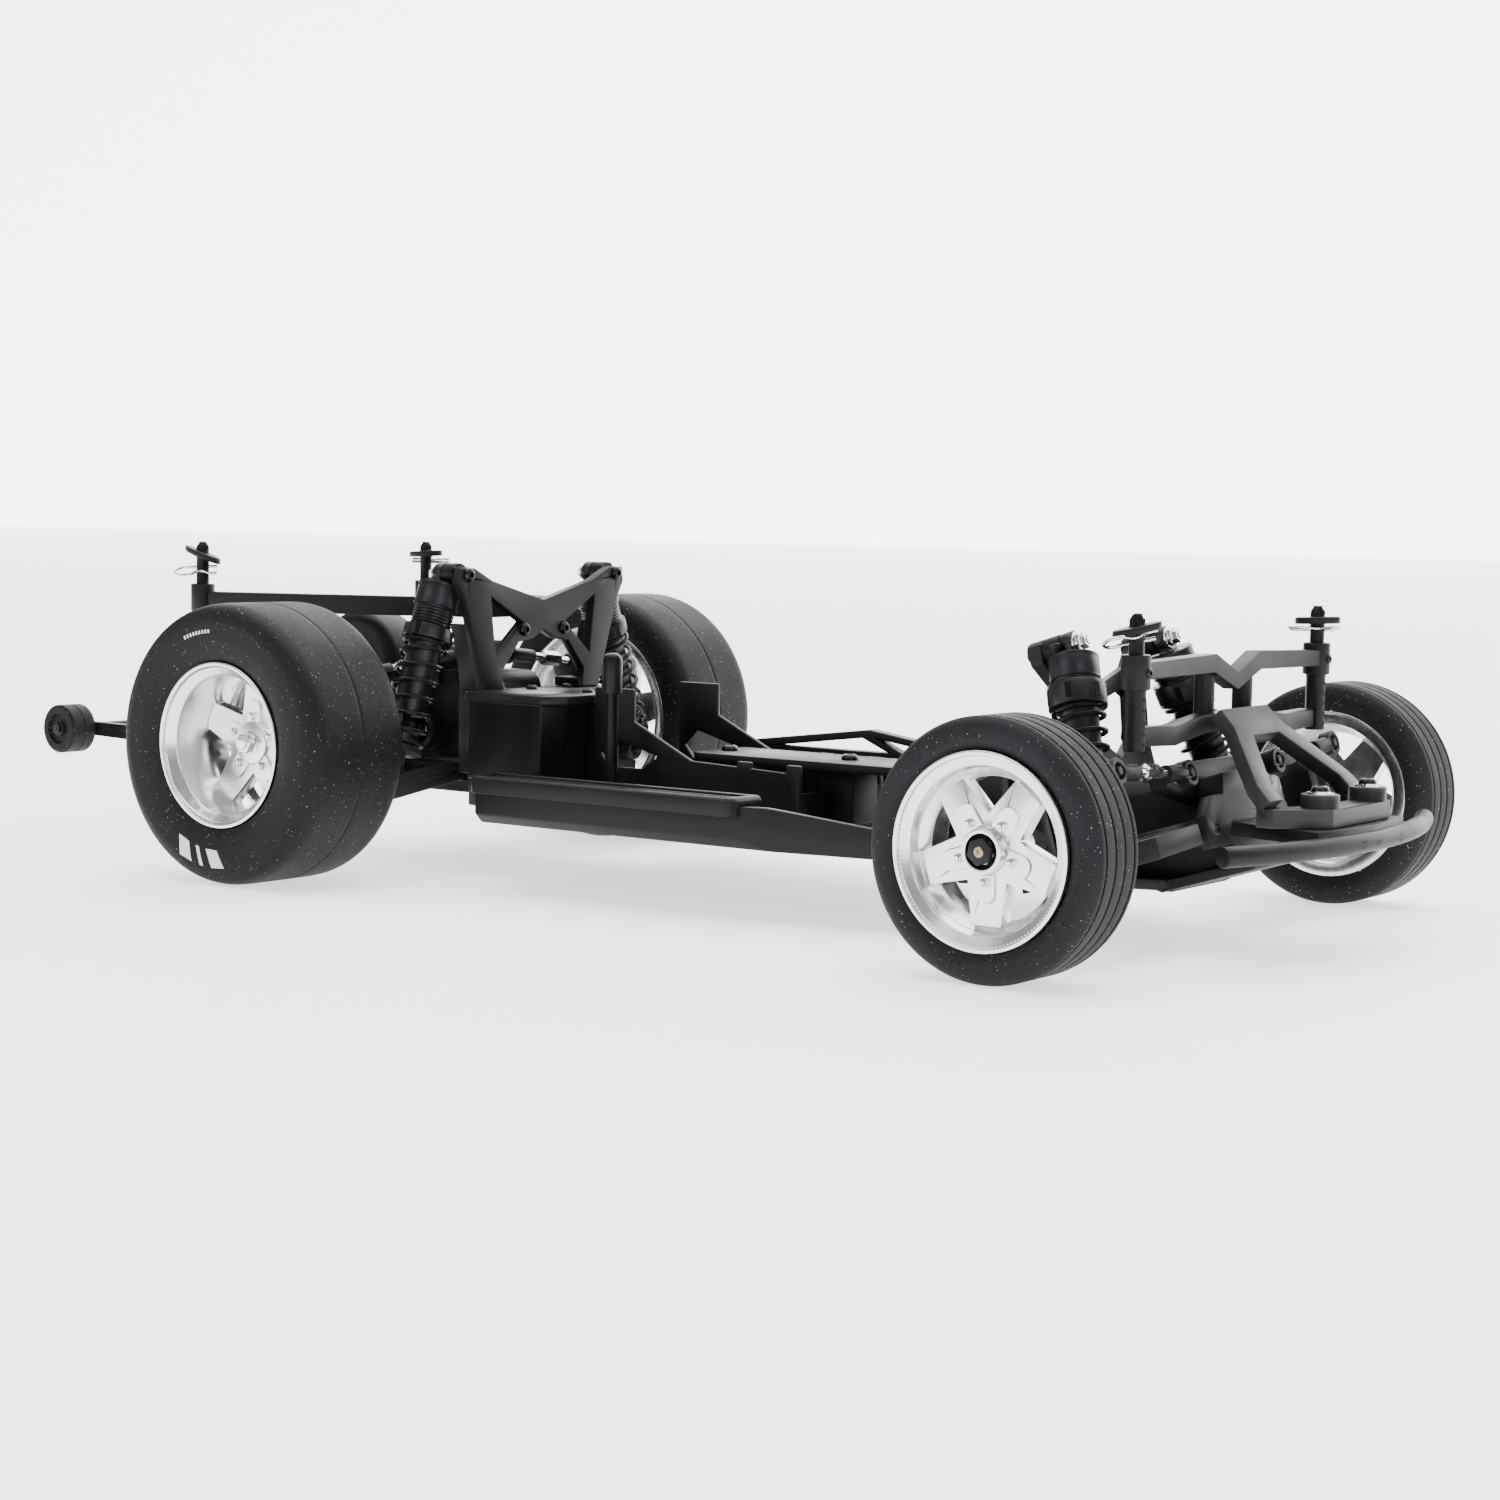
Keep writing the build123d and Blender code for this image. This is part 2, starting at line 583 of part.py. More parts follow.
def post_solid(x, y, top, bottom, collar_bottom, collar_top, disc_z):
    """A body post: shaft, wide collar, thin peg and the oval disc that the shell rests on."""
    ground = Plane(origin=(x, y, 0))
    disc(ground.offset(bottom), 3.4, collar_bottom - bottom)
    disc(ground.offset(collar_bottom), 4.7, collar_top - collar_bottom)
    disc(ground.offset(collar_top), 2.5, top - collar_top)
    with BuildSketch(ground.offset(disc_z)) as rest:
        Ellipse(8.2, 5.6)
    extrude(rest.sketch, amount=2.4)


def body_mounts():
    """Front and rear body mounts: cross bars, arms and the four posts."""
    fx, fy, ftop = front_post
    rx, ry, rtop = rear_post
    with BuildPart() as piece:
        for side in (1, -1):
            post_solid(fx, side * fy, ftop, 67.6, 87.0, 98.0, 104.6)
            post_solid(rx, side * ry, rtop, 88.0, 97.6, 108.6, 119.0)
        # upper front bar with its shallow V in the middle
        bar = Plane(origin=(fx - 3.0, 0, 0), x_dir=(0, 1, 0), z_dir=(1, 0, 0))
        top = [(-64, 95.5), (-16, 96.8), (0, 90.2), (16, 96.8), (64, 95.5)]
        prism(bar, top + [(64, 90.0), (17, 90.6), (0, 84.4), (-17, 90.6), (-64, 90.0)], 6.0)
        # lower front arms and their middle block
        prism(bar.offset(-1.4), [(-62.4, 75.0), (-62.4, 69.0), (-40, 68.0), (-19, 71.0), (19, 71.0),
                                 (40, 68.0),
                                 (62.4, 69.0), (62.4, 75.0), (40, 74.5), (19, 77.0), (-19, 77.0),
                                 (-40, 74.5)], 5.8)
        for side in (1, -1):
            strut = Plane(origin=(fx - 2.6, side * 13.8, 76.9))
            disc(strut, 3.4, 15.6)
            # rear arm from the post to the tower
            run = Vector(-63.0 - rx, side * (20.0 - ry), 0).normalized()
            across = Vector(-run.Y, run.X, 0)
            start = Vector(rx, side * ry, 97.9) + run * 3.6
            arm = Plane(origin=start, x_dir=across, z_dir=run)
            reach = hypot(-63.0 - rx, 20.0 - ry) - 3.6
            prism(arm, [(-3.4, 0), (3.4, 0), (3.4, 7.6), (-3.4, 7.6)] if arm.y_dir.Z > 0
                  else [(-3.4, -7.6), (3.4, -7.6), (3.4, 0), (-3.4, 0)], reach)
        block(-69.0, -60.4, -24.0, 24.0, 97.9, 105.5)
    return piece


def bumper_brace():
    """The raked brace from the front body mount down to the bumper."""
    top = Vector(252.6, 0, 77.2)
    knee = Vector(278.0, 0, 52.2)
    slope = (knee - top).normalized()
    length = (knee - top).length
    face = Plane(origin=top, x_dir=(0, 1, 0), z_dir=Vector(0, 1, 0).cross(slope))
    sign = 1 if face.y_dir.dot(slope) > 0 else -1
    with BuildPart() as piece:
        half = [(17.0, 0), (18.0, 8.0), (34.5, length - 4.0), (35.5, length + 3.0)]
        outline = [(y, sign * s) for y, s in half] + [(-y, sign * s) for y, s in reversed(half)]
        prism(face.offset(-2.5), outline, 5.0)
        window = [(9.5, 12.0), (25.5, length - 3.0), (25.5, length + 8), (-25.5, length + 8),
                  (-25.5, length - 3.0),
                  (-9.5, 12.0)]
        prism(face.offset(-5), [(y, sign * s) for y, s in window], 10, Mode.SUBTRACT)
        foot = Plane.XY.offset(43.4)
        legs = [(277.0, 35.5), (283.0, 35.0), (297.5, 22.0), (297.5, -22.0), (283.0, -35.0), (277.0, -35.5),
                (277.0, -25.6), (281.0, -24.6), (287.0, -10.0), (287.0, 10.0), (281.0, 24.6), (277.0, 25.6)]
        prism(foot, legs, 6.0)
        for x, y in brace_screws:
            disc(foot, 6.2, 10.4, at=(x, y))
            disc(foot.offset(-1), press_r, 14, at=(x, y), mode=Mode.SUBTRACT)
    return piece


def front_bumper():
    """The bowed bumper tube and the flat plate behind it."""
    end_x, end_y, end_z = 286.4, 76.3, 38.2
    tube_r_out = 3.3
    bow = overall_front_x - tube_r_out - end_x
    bend_r = (end_y ** 2 + bow ** 2) / (2 * bow)
    bend_x = end_x + bow - bend_r
    half_angle = degrees(asin(end_y / bend_r))
    with BuildPart() as piece:
        start = Plane(origin=(end_x, -end_y, end_z), x_dir=(end_x - bend_x, -end_y, 0),
                      z_dir=(end_y, end_x - bend_x, 0))
        with BuildSketch(start) as section:
            Circle(tube_r_out)
        revolve(section.sketch, axis=Axis((bend_x, 0, 0), (0, 0, 1)), revolution_arc=2 * half_angle)
        plate = [(262.0, -22), (262.0, 22), (272, 26), (297.5, 33), (300.2, 20), (301.5, 0), (300.2, -20),
                 (297.5, -33),
                 (272, -26)]
        prism(Plane.XY.offset(38.6), plate, 4.6)
        for x, y in brace_screws:
            disc(Plane.XY.offset(30), press_r, 20, at=(x, y), mode=Mode.SUBTRACT)
    return piece


# ---------------------------------------------------------------- chassis
tub_half = [(-62, 30), (-18, 30), (-18, 75), (103, 75), (118, 71), (150, 66), (190, 50), (222, 30),
            (240, 24)]


def mirrored(points):
    return points + [(x, -y) for x, y in reversed(points)]


def chassis_tub():
    """The moulded tub: floor, side walls, middle spine walls and kicked-up nose."""
    with BuildPart() as piece:
        prism(Plane.XY.offset(nose_bottom), mirrored(tub_half), 22.0)
        bottom_edges = piece.edges().group_by(Axis.Z)[0].filter_by(Axis.Y, reverse=True)
        chamfer(bottom_edges, 3.4)
        inner = [(-58.5, 27), (-15, 27), (-15, 72), (102.5, 72), (117, 68), (148.6, 63.2), (188, 47.4),
                 (220, 27.4), (236, 20)]
        prism(Plane.XY.offset(floor_top), mirrored(inner), 40.0, Mode.SUBTRACT)
        well = [(drop_end, 47), (188, 47), (220, 27.4), (236, 20)]
        prism(Plane.XY.offset(nose_top), mirrored(well), 40.0, Mode.SUBTRACT)
        side_view = Plane(origin=(0, -100, 0), x_dir=(1, 0, 0), z_dir=(0, 1, 0))
        flip = 1 if side_view.y_dir.Z > 0 else -1
        ramp = [(drop_start, floor_top), (drop_start, 36), (drop_end + 1, 36), (drop_end + 1, nose_top),
                (drop_end, nose_top)]
        prism(side_view.offset(53), [(x, flip * z) for x, z in ramp], 94, Mode.SUBTRACT)
        above = [(112, 40), (150, 35.5), (190, 31), (213, 22), (300, 22), (300, 60), (112, 60)]
        prism(side_view, [(x, flip * z) for x, z in above], 200, Mode.SUBTRACT)
        behind = [(-70, 37.6), (-14.9, 37.6), (-14.9, 60), (-70, 60)]
        prism(side_view, [(x, flip * z) for x, z in behind], 200, Mode.SUBTRACT)
        # kicked-up nose plate
        nose = [(232, nose_bottom), (239, nose_bottom), (271, 28.2), (270, 31.4), (238.6, 21.4),
                (232, 21.4)]
        prism(Plane(origin=(0, -22, 0), x_dir=(1, 0, 0), z_dir=(0, 1, 0)),
              [(x, flip * z) for x, z in nose], 44)
        # tall spine walls with their stepped tops
        wall = [(-1, floor_top - 1), (-1, 74), (17.5, 74), (17.5, 62), (45, 49), (94, 47),
                (94, floor_top - 1)]
        hole = [(1.5, 49.5), (7.5, 55.5), (29.5, 49.5), (22, 44.5), (6, 44.5)]
        for y0 in (-27.2, 24.8):
            plane = Plane(origin=(0, y0, 0), x_dir=(1, 0, 0), z_dir=(0, 1, 0))
            prism(plane, [(x, flip * z) for x, z in wall], 2.4)
            prism(plane.offset(-1), [(x, flip * z) for x, z in hole], 4.4, Mode.SUBTRACT)
            for x in (66.0, 88.0):
                block(x, x + 6, y0, y0 + 2.4, 46.0, 50.2)
        block(91.6, 94.0, -27.0, 27.0, floor_top - 1, 40.0)
        for x in (42.7, 97.3, 140.0):
            block(x - 7, x + 7, -8, 8, floor_top - 1, 47.8)
        # battery bay end walls on the left, screw bosses on the right
        block(20.0, 22.4, 27, 72.5, floor_top - 1, 36)
        block(142.0, 144.2, 27, 64.5, floor_top - 1, 33)
        for x in (110.0, 128.0, 150.0):
            disc(Plane(origin=(x, -50, floor_top - 1)), 5.0, 6.0)
        for y in (-24.0, 6.0):
            block(160.0, 183.0, y, y + 6.0, nose_top - 1, 41.8)
        block(-14.0, -10.0, -60, -50, floor_top - 1, 34)
        # the underside follows the floor, with a bevel along each flank
        below = [(-70, 0), (-70, floor_bottom), (drop_start, floor_bottom), (drop_end, nose_bottom),
                 (drop_end, 0)]
        prism(side_view, [(x, flip * z) for x, z in below], 200, Mode.SUBTRACT)
        for side in (1, -1):
            across = Plane(origin=(-20, 0, 0), x_dir=(0, 1, 0), z_dir=(1, 0, 0))
            bevel = [(side * 76, floor_bottom - 1), (side * 76, floor_bottom + 4.4),
                     (side * 70.6, floor_bottom - 1)]
            prism(across, bevel, 139, Mode.SUBTRACT)
    return piece


def battery_straps():
    """The flat strap over the spine and the trussed hold-down bar over the battery bay."""
    with BuildPart() as piece:
        block(36.0, 152.0, -16.0, 16.0, 48.0, 51.2)
        fillet(piece.edges().filter_by(Axis.Z), 4.0)
        front = Plane(origin=(0, 42.0, 0), x_dir=(1, 0, 0), z_dir=(0, 1, 0))
        flip = 1 if front.y_dir.Z > 0 else -1
        truss = [(14, 46.2), (20, 51.5), (77, 58.6), (112, 53.6), (150, 51.4), (150, 46.2)]
        prism(front, [(x, flip * z) for x, z in truss], 6.0)
        rear_window = [(34, 50.2), (74, 55.3), (86, 50.2)]
        front_window = [(92, 50.2), (80, 55.4), (110, 51.2), (110, 50.2)]
        for window in (rear_window, front_window):
            prism(front.offset(-1), [(x, flip * z) for x, z in window], 8.0, Mode.SUBTRACT)
        block(14.0, 19.0, 42.0, 48.0, floor_top, 47.0)
        block(144.6, 149.6, 42.0, 48.0, floor_top, 47.0)
    return piece


guard_outer, guard_corner = 80.0, 4.6   # half width over the guards, and their corner radius


def side_guards():
    """The step along each flank of the tub: a shell open below, with a ribbed recess on top."""
    with BuildPart() as piece:
        for side in (1, -1):
            low, high = sorted((side * 62.0, side * guard_outer))
            block(-18.0, 103.0, low, high, 36.6, 43.0)
        fillet([edge for edge in piece.edges().filter_by(Axis.Z) if abs(edge.center().Y) > guard_outer - 1],
               guard_corner)
        chamfer([edge for edge in piece.edges().group_by(Axis.Z)[-1] if abs(edge.center().Y) > 63], 1.2)
        for side in (1, -1):
            low, high = sorted((side * 61.0, side * 75.2))
            block(-20.0, 105.0, low, high, 28.0, 40.2, Mode.SUBTRACT)
            low, high = sorted((side * 64.4, side * 77.4))
            block(-14.0, 99.0, low, high, 41.5, 44.0, Mode.SUBTRACT)
            for row in range(3):
                y = side * (67.6 + 3.3 * row)
                block(-14.2, 99.2, y - 0.7, y + 0.7, 41.0, 42.4)
    return piece


# ---------------------------------------------------------------- rear frame and drive
def gearbox_case():
    """Gearbox, rear bulkhead and motor plate."""
    with BuildPart() as piece:
        block(-112.0, -64.0, -16.0, 16.0, 28.0, 76.0)
        fillet(piece.edges().filter_by(Axis.Y).group_by(Axis.Z)[-1], 8.0)
        block(-127.0, -112.0, -16.0, 16.0, 28.0, 45.0)
        block(-64.0, -48.4, -33.5, 33.5, 38.0, 69.4)
        block(-64.0, -62.2, -16.0, 16.0, 28.0, 38.2)
        block(-127.0, -122.6, -31.0, 31.0, 32.0, 45.0)
        block(-95.0, -88.0, -19.0, 19.0, 70.0, 87.0)
        plate = Plane(origin=(0, -18.0, 0), x_dir=(1, 0, 0), z_dir=(0, 1, 0))
        flip = 1 if plate.y_dir.Z > 0 else -1
        block(-112.0, -98.0, -18.0, -13.9, 50.0, 80.0)
        disc(plate, 19.0, 4.0, at=(spur_x, flip * spur_z))
        disc(plate, 17.0, 4.0, at=(motor_x, flip * motor_z))
        for side in (1, -1):
            outlet = Plane(origin=(rear_axle_x, side * 15.0, rear_axle_z), x_dir=(1, 0, 0),
                           z_dir=(0, side, 0))
            disc(outlet, 8.0, 8.0)
            disc(outlet.offset(-2.0), 5.4, 12.0, mode=Mode.SUBTRACT)
            place = (side * rear_inner_pin[0], rear_inner_pin[1])
            through(rear_point, place, -33, 33, pin_r + running_gap, Mode.SUBTRACT)
            place = (side * rear_link_inner[0], rear_link_inner[1])
            through(rear_point, place, 6.9, rear_link_d + 2.6, 1.4)
            with Locations(rear_point(rear_link_d, *place)):
                Sphere(2.4)
        shaft = Plane(origin=(spur_x, -13.0, spur_z), x_dir=(1, 0, 0), z_dir=(0, -1, 0))
        disc(shaft, 2.5 + running_gap, 6.0, mode=Mode.SUBTRACT)
        hub = Plane(origin=(motor_x, -13.0, motor_z), x_dir=(1, 0, 0), z_dir=(0, -1, 0))
        disc(hub, 3.4, 6.0, mode=Mode.SUBTRACT)
    return piece


def gear_cover():
    """The domed cover over the spur gear and pinion."""
    inner_face = -18.1
    outer_face = -36.4
    side_plane = Plane(origin=(0, outer_face, 0), x_dir=(1, 0, 0), z_dir=(0, 1, 0))
    flip = 1 if side_plane.y_dir.Z > 0 else -1
    depth = inner_face - outer_face
    with BuildPart() as piece:
        with BuildSketch(side_plane) as outer:
            with Locations((spur_x, flip * spur_z)):
                Circle(21.0)
            with Locations((motor_x, flip * motor_z)):
                Circle(10.5)
            make_hull()
        extrude(outer.sketch, amount=depth)
        fillet(piece.faces().sort_by(Axis.Y)[0].edges(), 4.5)
        with BuildSketch(side_plane.offset(3.0)) as inner:
            with Locations((spur_x, flip * spur_z)):
                Circle(18.9)
            with Locations((motor_x, flip * motor_z)):
                Circle(8.6)
            make_hull()
        extrude(inner.sketch, amount=depth, mode=Mode.SUBTRACT)
        disc(side_plane.offset(-2.2), 8.0, 3.4, at=(spur_x, flip * spur_z))
    return piece


def motor():
    """Brushed motor can, with its end bell, standing off the motor plate."""
    with BuildPart() as piece:
        can = Plane(origin=(motor_x, -13.8, motor_z), x_dir=(1, 0, 0), z_dir=(0, 1, 0))
        disc(can, motor_r, 40.0)
        fillet(piece.edges().filter_by(GeomType.CIRCLE), 2.0)
        disc(can.offset(40.0), motor_r - 1.5, 9.0)
        disc(can.offset(49.0), 6.5, 2.6)
        disc(can.offset(-0.2), 1.2, 4.0, mode=Mode.SUBTRACT)
    return piece


def gear(center, teeth, phase, y0, y1, bore_shaft):
    """A spur gear with slim straight-sided teeth that leave clear backlash."""
    x, z = center
    pitch_r = teeth * gear_module / 2
    root_r, tip_r = pitch_r - 0.8, pitch_r + 0.45
    root_half, tip_half = 0.52, 0.24
    face = Plane(origin=(x, y0, z), x_dir=(1, 0, 0), z_dir=(0, 1, 0))
    flip = 1 if face.y_dir.Z > 0 else -1
    flanks = [(root_r, -root_half), (tip_r, -tip_half), (tip_r, tip_half), (root_r, root_half)]
    outline = []
    for index in range(teeth):
        middle = radians(phase + 360.0 * index / teeth)
        for radius, half in flanks:
            angle = middle + asin(half / radius)
            outline.append((radius * cos(angle), flip * radius * sin(angle)))
    with BuildPart() as piece:
        prism(face, outline, y1 - y0)
        disc(Plane(origin=(x, bore_shaft[0], z), x_dir=(1, 0, 0), z_dir=(0, 1, 0)), bore_shaft[2],
             bore_shaft[1] - bore_shaft[0])
    return piece


def half_shaft(side):
    """A drive shaft with a ball at each end, from the gearbox outlet to the wheel's cup."""
    with BuildPart() as piece:
        line = Plane(origin=(rear_axle_x, 19.0, rear_axle_z), x_dir=(1, 0, 0), z_dir=(0, 1, 0))
        disc(line, 2.0, 46.5)
        disc(line.offset(8.0), 3.4, 22.0)
        for y in (19.0, 65.5):
            with Locations((rear_axle_x, y, rear_axle_z)):
                Sphere(2.9)
        keep_side(side)
    return piece


def rear_tower():
    """The rear shock tower, with rearward flanges along its legs and bushes for the shocks."""
    top_y, top_z = rear_shock_top
    half = [(0, 104.9), (30, 112.6), (40.5, 117.6), (48.6, 117.6), (49.4, 111.6), (45.2, 104.6),
            (38.0, 82.0),
            (34.2, 69.8), (23.7, 69.8), (24.6, 77.2), (14.8, 88.5), (6.0, 90.0), (0, 93.0)]
    face = Plane(origin=(-53.6, 0, 0), x_dir=(0, 1, 0), z_dir=(1, 0, 0))
    with BuildPart() as piece:
        outline = half + [(-y, z) for y, z in reversed(half[1:-1])]
        prism(face, outline, 4.2)
        for side in (1, -1):
            prism(face.offset(-1), [(side * 31.2, 106.6), (side * 12.6, 96.4), (side * 28.2, 83.6)], 6.4,
                  Mode.SUBTRACT)
            leg = [(side * 40.4, 96.0), (side * 36.2, 82.0), (side * 34.2, 69.8), (side * 31.4, 69.8),
                   (side * 33.4, 82.0), (side * 37.6, 96.0)]
            prism(face.offset(-9.0), leg, 9.1)
            disc(face.offset(-6.4), 4.4, 6.5, at=(side * top_y, top_z))
            low, high = sorted((side * 22.5, side * 33.5))
            block(-63.0, -50.0, low, high, 69.6, 73.2)
            through(rear_point, (side * top_y, top_z), 20, 60, press_r, Mode.SUBTRACT)
    return piece


# ---------------------------------------------------------------- electronics
def receiver_box():
    """Receiver box base and its lid."""
    with BuildPart() as piece:
        block(-46.5, -2.5, -48.0, -10.8, 37.8, 67.6)
        chamfer(piece.edges().filter_by(Axis.Z).sort_by(Axis.X)[-2:].sort_by(Axis.Y)[0], 7.0)
        block(-47.4, -1.6, -48.8, -10.0, 67.6, 71.0)
        chamfer(piece.edges().filter_by(Axis.Z).sort_by(Axis.X)[-2:].sort_by(Axis.Y)[0], 7.0)
    return piece


def antenna_mast():
    with BuildPart() as piece:
        disc(Plane(origin=(18.0, -40.0, floor_top)), 2.4, 48.0)
        disc(Plane(origin=(18.0, -40.0, 73.0)), 3.7, 15.0)
        fillet(piece.faces().sort_by(Axis.Z)[-1].edges(), 3.0)
        disc(Plane(origin=(18.0, -40.0, floor_top)), 5.0, 8.0)
    return piece


# ---------------------------------------------------------------- wheelie bar
def wheelie_bar():
    with BuildPart() as piece:
        for side in (1, -1):
            low, high = sorted((side * 19.8, side * 24.0))
            outer = Plane(origin=(0, low, 0), x_dir=(1, 0, 0), z_dir=(0, 1, 0))
            flip = 1 if outer.y_dir.Z > 0 else -1
            arm = [(-127.2, 34.0), (-127.2, 42.6), (wheelie_x - 1, 44.6), (wheelie_x - 4.4, 41.7),
                   (wheelie_x - 1, 38.8)]
            prism(outer, [(x, flip * z) for x, z in arm], high - low)
        for x in (-175.0, -235.0):
            block(x - 3, x + 3, -20.0, 20.0, 36.6, 42.4)
        block(-133.0, -127.2, -26.0, 26.0, 33.4, 44.6)
        axle = Plane(origin=(wheelie_x, -30, wheelie_z), x_dir=(1, 0, 0), z_dir=(0, 1, 0))
        disc(axle, 2.0 + running_gap, 60, mode=Mode.SUBTRACT)
    return piece


def wheelie_wheels():
    """The two small wheels on their shared axle."""
    with BuildPart() as piece:
        axle = Plane(origin=(wheelie_x, -39.4, wheelie_z), x_dir=(1, 0, 0), z_dir=(0, 1, 0))
        disc(axle, 2.0, 78.8)
        for y0 in (25.0, -38.0):
            wheel = Plane(origin=(wheelie_x, y0, wheelie_z), x_dir=(1, 0, 0), z_dir=(0, 1, 0))
            disc(wheel, wheelie_wheel_r, 13.0)
    return piece


# ---------------------------------------------------------------- fasteners
def fasteners():
    """Shock bolts, body clips and the visible screws."""
    with BuildPart() as piece:
        for side in (1, -1):
            place = (side * front_shock_top[0], front_shock_top[1])
            through(front_point, place, tower_back_p - 2.2, -3.0, pin_r)
            through(front_point, place, tower_back_p - 2.2, tower_back_p, 3.0)
            through(front_point, place, -7.2, -3.6, 3.1)
            place = (side * rear_shock_top[0], rear_shock_top[1])
            through(rear_point, place, 27.6, 46.0, pin_r)
            through(rear_point, place, 45.65, 47.6, 3.0)
            through(rear_point, place, 27.6, 30.7, 3.1)
        for x, y in brace_screws:
            disc(Plane.XY.offset(39.0), pin_r, 15.0, at=(x, y))
            disc(Plane.XY.offset(53.8), 3.6, 2.4, at=(x, y))
        for x in (42.7, 97.3):
            disc(Plane.XY.offset(51.2), 3.2, 2.0, at=(x, 0))
        for px, py, clip_z in ((front_post[0], front_post[1], 102.6), (rear_post[0], rear_post[1], 117.0)):
            for side in (1, -1):
                ring = Plane(origin=(px, side * py, clip_z))
                disc(ring, 5.4, 1.4)
                disc(ring.offset(-1), 4.0, 4.0, mode=Mode.SUBTRACT)
                disc(ring.offset(-1), 2.52, 4.0, mode=Mode.SUBTRACT)
    return piece


# ---------------------------------------------------------------- build and export
for side, word in SIDES:
    save(front_rim(side), f"front_rim_{word}")
    save(rear_rim(side), f"rear_rim_{word}")
    grooves = [(y, front_tyre_r, 1.2) for y in (111.6, 117.2, 122.8, 128.4)]
    save(tyre(side, front_axle_x, front_axle_z, front_tyre_profile, grooves), f"front_tyre_{word}")
    save(tyre(side, rear_axle_x, rear_axle_z, rear_tyre_profile, []), f"rear_tyre_{word}")
    save(front_arm(side), f"front_arm_{word}")
    save(rear_arm(side), f"rear_arm_{word}")
    save(caster_block(side), f"caster_block_{word}")
    save(steering_knuckle(side), f"steering_knuckle_{word}")
    save(rear_hub(side), f"rear_hub_{word}")
    save(half_shaft(side), f"half_shaft_{word}")
    save(front_link(side), f"front_camber_link_{word}")
    save(rear_link(side), f"rear_camber_link_{word}")
    save(tie_rod(side), f"tie_rod_{word}")
    for end, size in shock_sizes.items():
        save(shock_body(side, size), f"{end}_shock_body_{word}")
        save(shock_rod(side, size), f"{end}_shock_rod_{word}")
        save(shock_spring(side, size), f"{end}_spring_{word}")

save(steering_rack(), "steering_rack")
save(servo_horn(), "servo_horn")
save(steering_servo(), "steering_servo")
save(front_bulkhead(), "front_bulkhead")
save(front_tower(), "front_shock_tower")
save(body_mounts(), "body_mounts")
save(bumper_brace(), "bumper_brace")
save(front_bumper(), "front_bumper")
save(chassis_tub(), "chassis_tub")
save(battery_straps(), "battery_straps")
save(side_guards(), "side_guards")
save(gearbox_case(), "gearbox_case")
save(gear_cover(), "gear_cover")
save(motor(), "motor")
save(gear((spur_x, spur_z), spur_teeth, motor_angle, -30.0, -25.0, (-32.6, -14.2, 2.5)), "spur_gear")
save(gear((motor_x, motor_z), pinion_teeth, motor_angle + 180 + 180 / pinion_teeth, -31.0, -24.0,
          (-31.0, -10.6, 1.15)), "pinion_gear")
save(rear_tower(), "rear_shock_tower")
save(receiver_box(), "receiver_box")
save(antenna_mast(), "antenna_mast")
save(wheelie_bar(), "wheelie_bar")
save(wheelie_wheels(), "wheelie_wheels")
save(fasteners(), "fasteners")
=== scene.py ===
import json
import math
import bmesh
import bpy
from mathutils import Matrix, Vector

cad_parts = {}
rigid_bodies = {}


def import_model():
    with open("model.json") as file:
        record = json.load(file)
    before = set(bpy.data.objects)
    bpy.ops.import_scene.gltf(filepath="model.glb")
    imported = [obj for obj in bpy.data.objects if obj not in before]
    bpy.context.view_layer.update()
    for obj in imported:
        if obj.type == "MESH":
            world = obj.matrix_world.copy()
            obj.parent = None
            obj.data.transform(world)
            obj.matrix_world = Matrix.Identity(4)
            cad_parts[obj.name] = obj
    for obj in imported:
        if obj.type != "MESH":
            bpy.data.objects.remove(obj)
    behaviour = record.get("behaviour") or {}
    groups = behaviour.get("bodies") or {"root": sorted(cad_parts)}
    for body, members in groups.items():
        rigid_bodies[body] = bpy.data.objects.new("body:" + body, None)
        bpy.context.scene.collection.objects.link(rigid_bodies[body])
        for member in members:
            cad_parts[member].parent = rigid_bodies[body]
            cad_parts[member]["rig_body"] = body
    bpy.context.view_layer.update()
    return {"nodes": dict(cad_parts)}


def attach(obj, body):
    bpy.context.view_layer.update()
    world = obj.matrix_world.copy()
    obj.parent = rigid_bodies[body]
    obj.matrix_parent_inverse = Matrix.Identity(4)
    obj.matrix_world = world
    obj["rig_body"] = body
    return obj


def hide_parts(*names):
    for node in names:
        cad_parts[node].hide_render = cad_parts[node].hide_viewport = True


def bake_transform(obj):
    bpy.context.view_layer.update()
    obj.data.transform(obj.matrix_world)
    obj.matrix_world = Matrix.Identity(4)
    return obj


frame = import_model()
NODES = frame["nodes"]
MM = 0.001
SIDES = ((1, "left"), (-1, "right"))

# ------------------------------------------------------------------ driving places, in millimetres
FORWARD = Vector((1, 0, 0))
UPWARD = Vector((0, 0, 1))
FRONT_AXLE = (235.0, 0.0, 40.7)
REAR_AXLE = (-95.0, 0.0, 52.2)
FRONT_POST_X, FRONT_POST_Y = 249.3, 65.5
REAR_POST_X, REAR_POST_Y = -173.3, 65.2
REAR_SHOCK_X, REAR_SHOCK_Y, REAR_SHOCK_Z = -62.2, 44.4, 115.0
REAR_FOOT_Y, REAR_FOOT_Z = 72.0, 41.0
WHEELIE_X, WHEELIE_Z = -294.5, 41.7

# the front suspension leans back: its own forward and upward directions, and its dampers' places in them
KICK = math.radians(17.5)
KICKED_FORWARD = Vector((math.cos(KICK), 0, math.sin(KICK)))
KICKED_UP = Vector((-math.sin(KICK), 0, math.cos(KICK)))
FRONT_SHOCK_ALONG, FRONT_SHOCK_Y, FRONT_SHOCK_ABOVE = -9.3, 32.0, 63.5
FRONT_FOOT_Y = 50.0


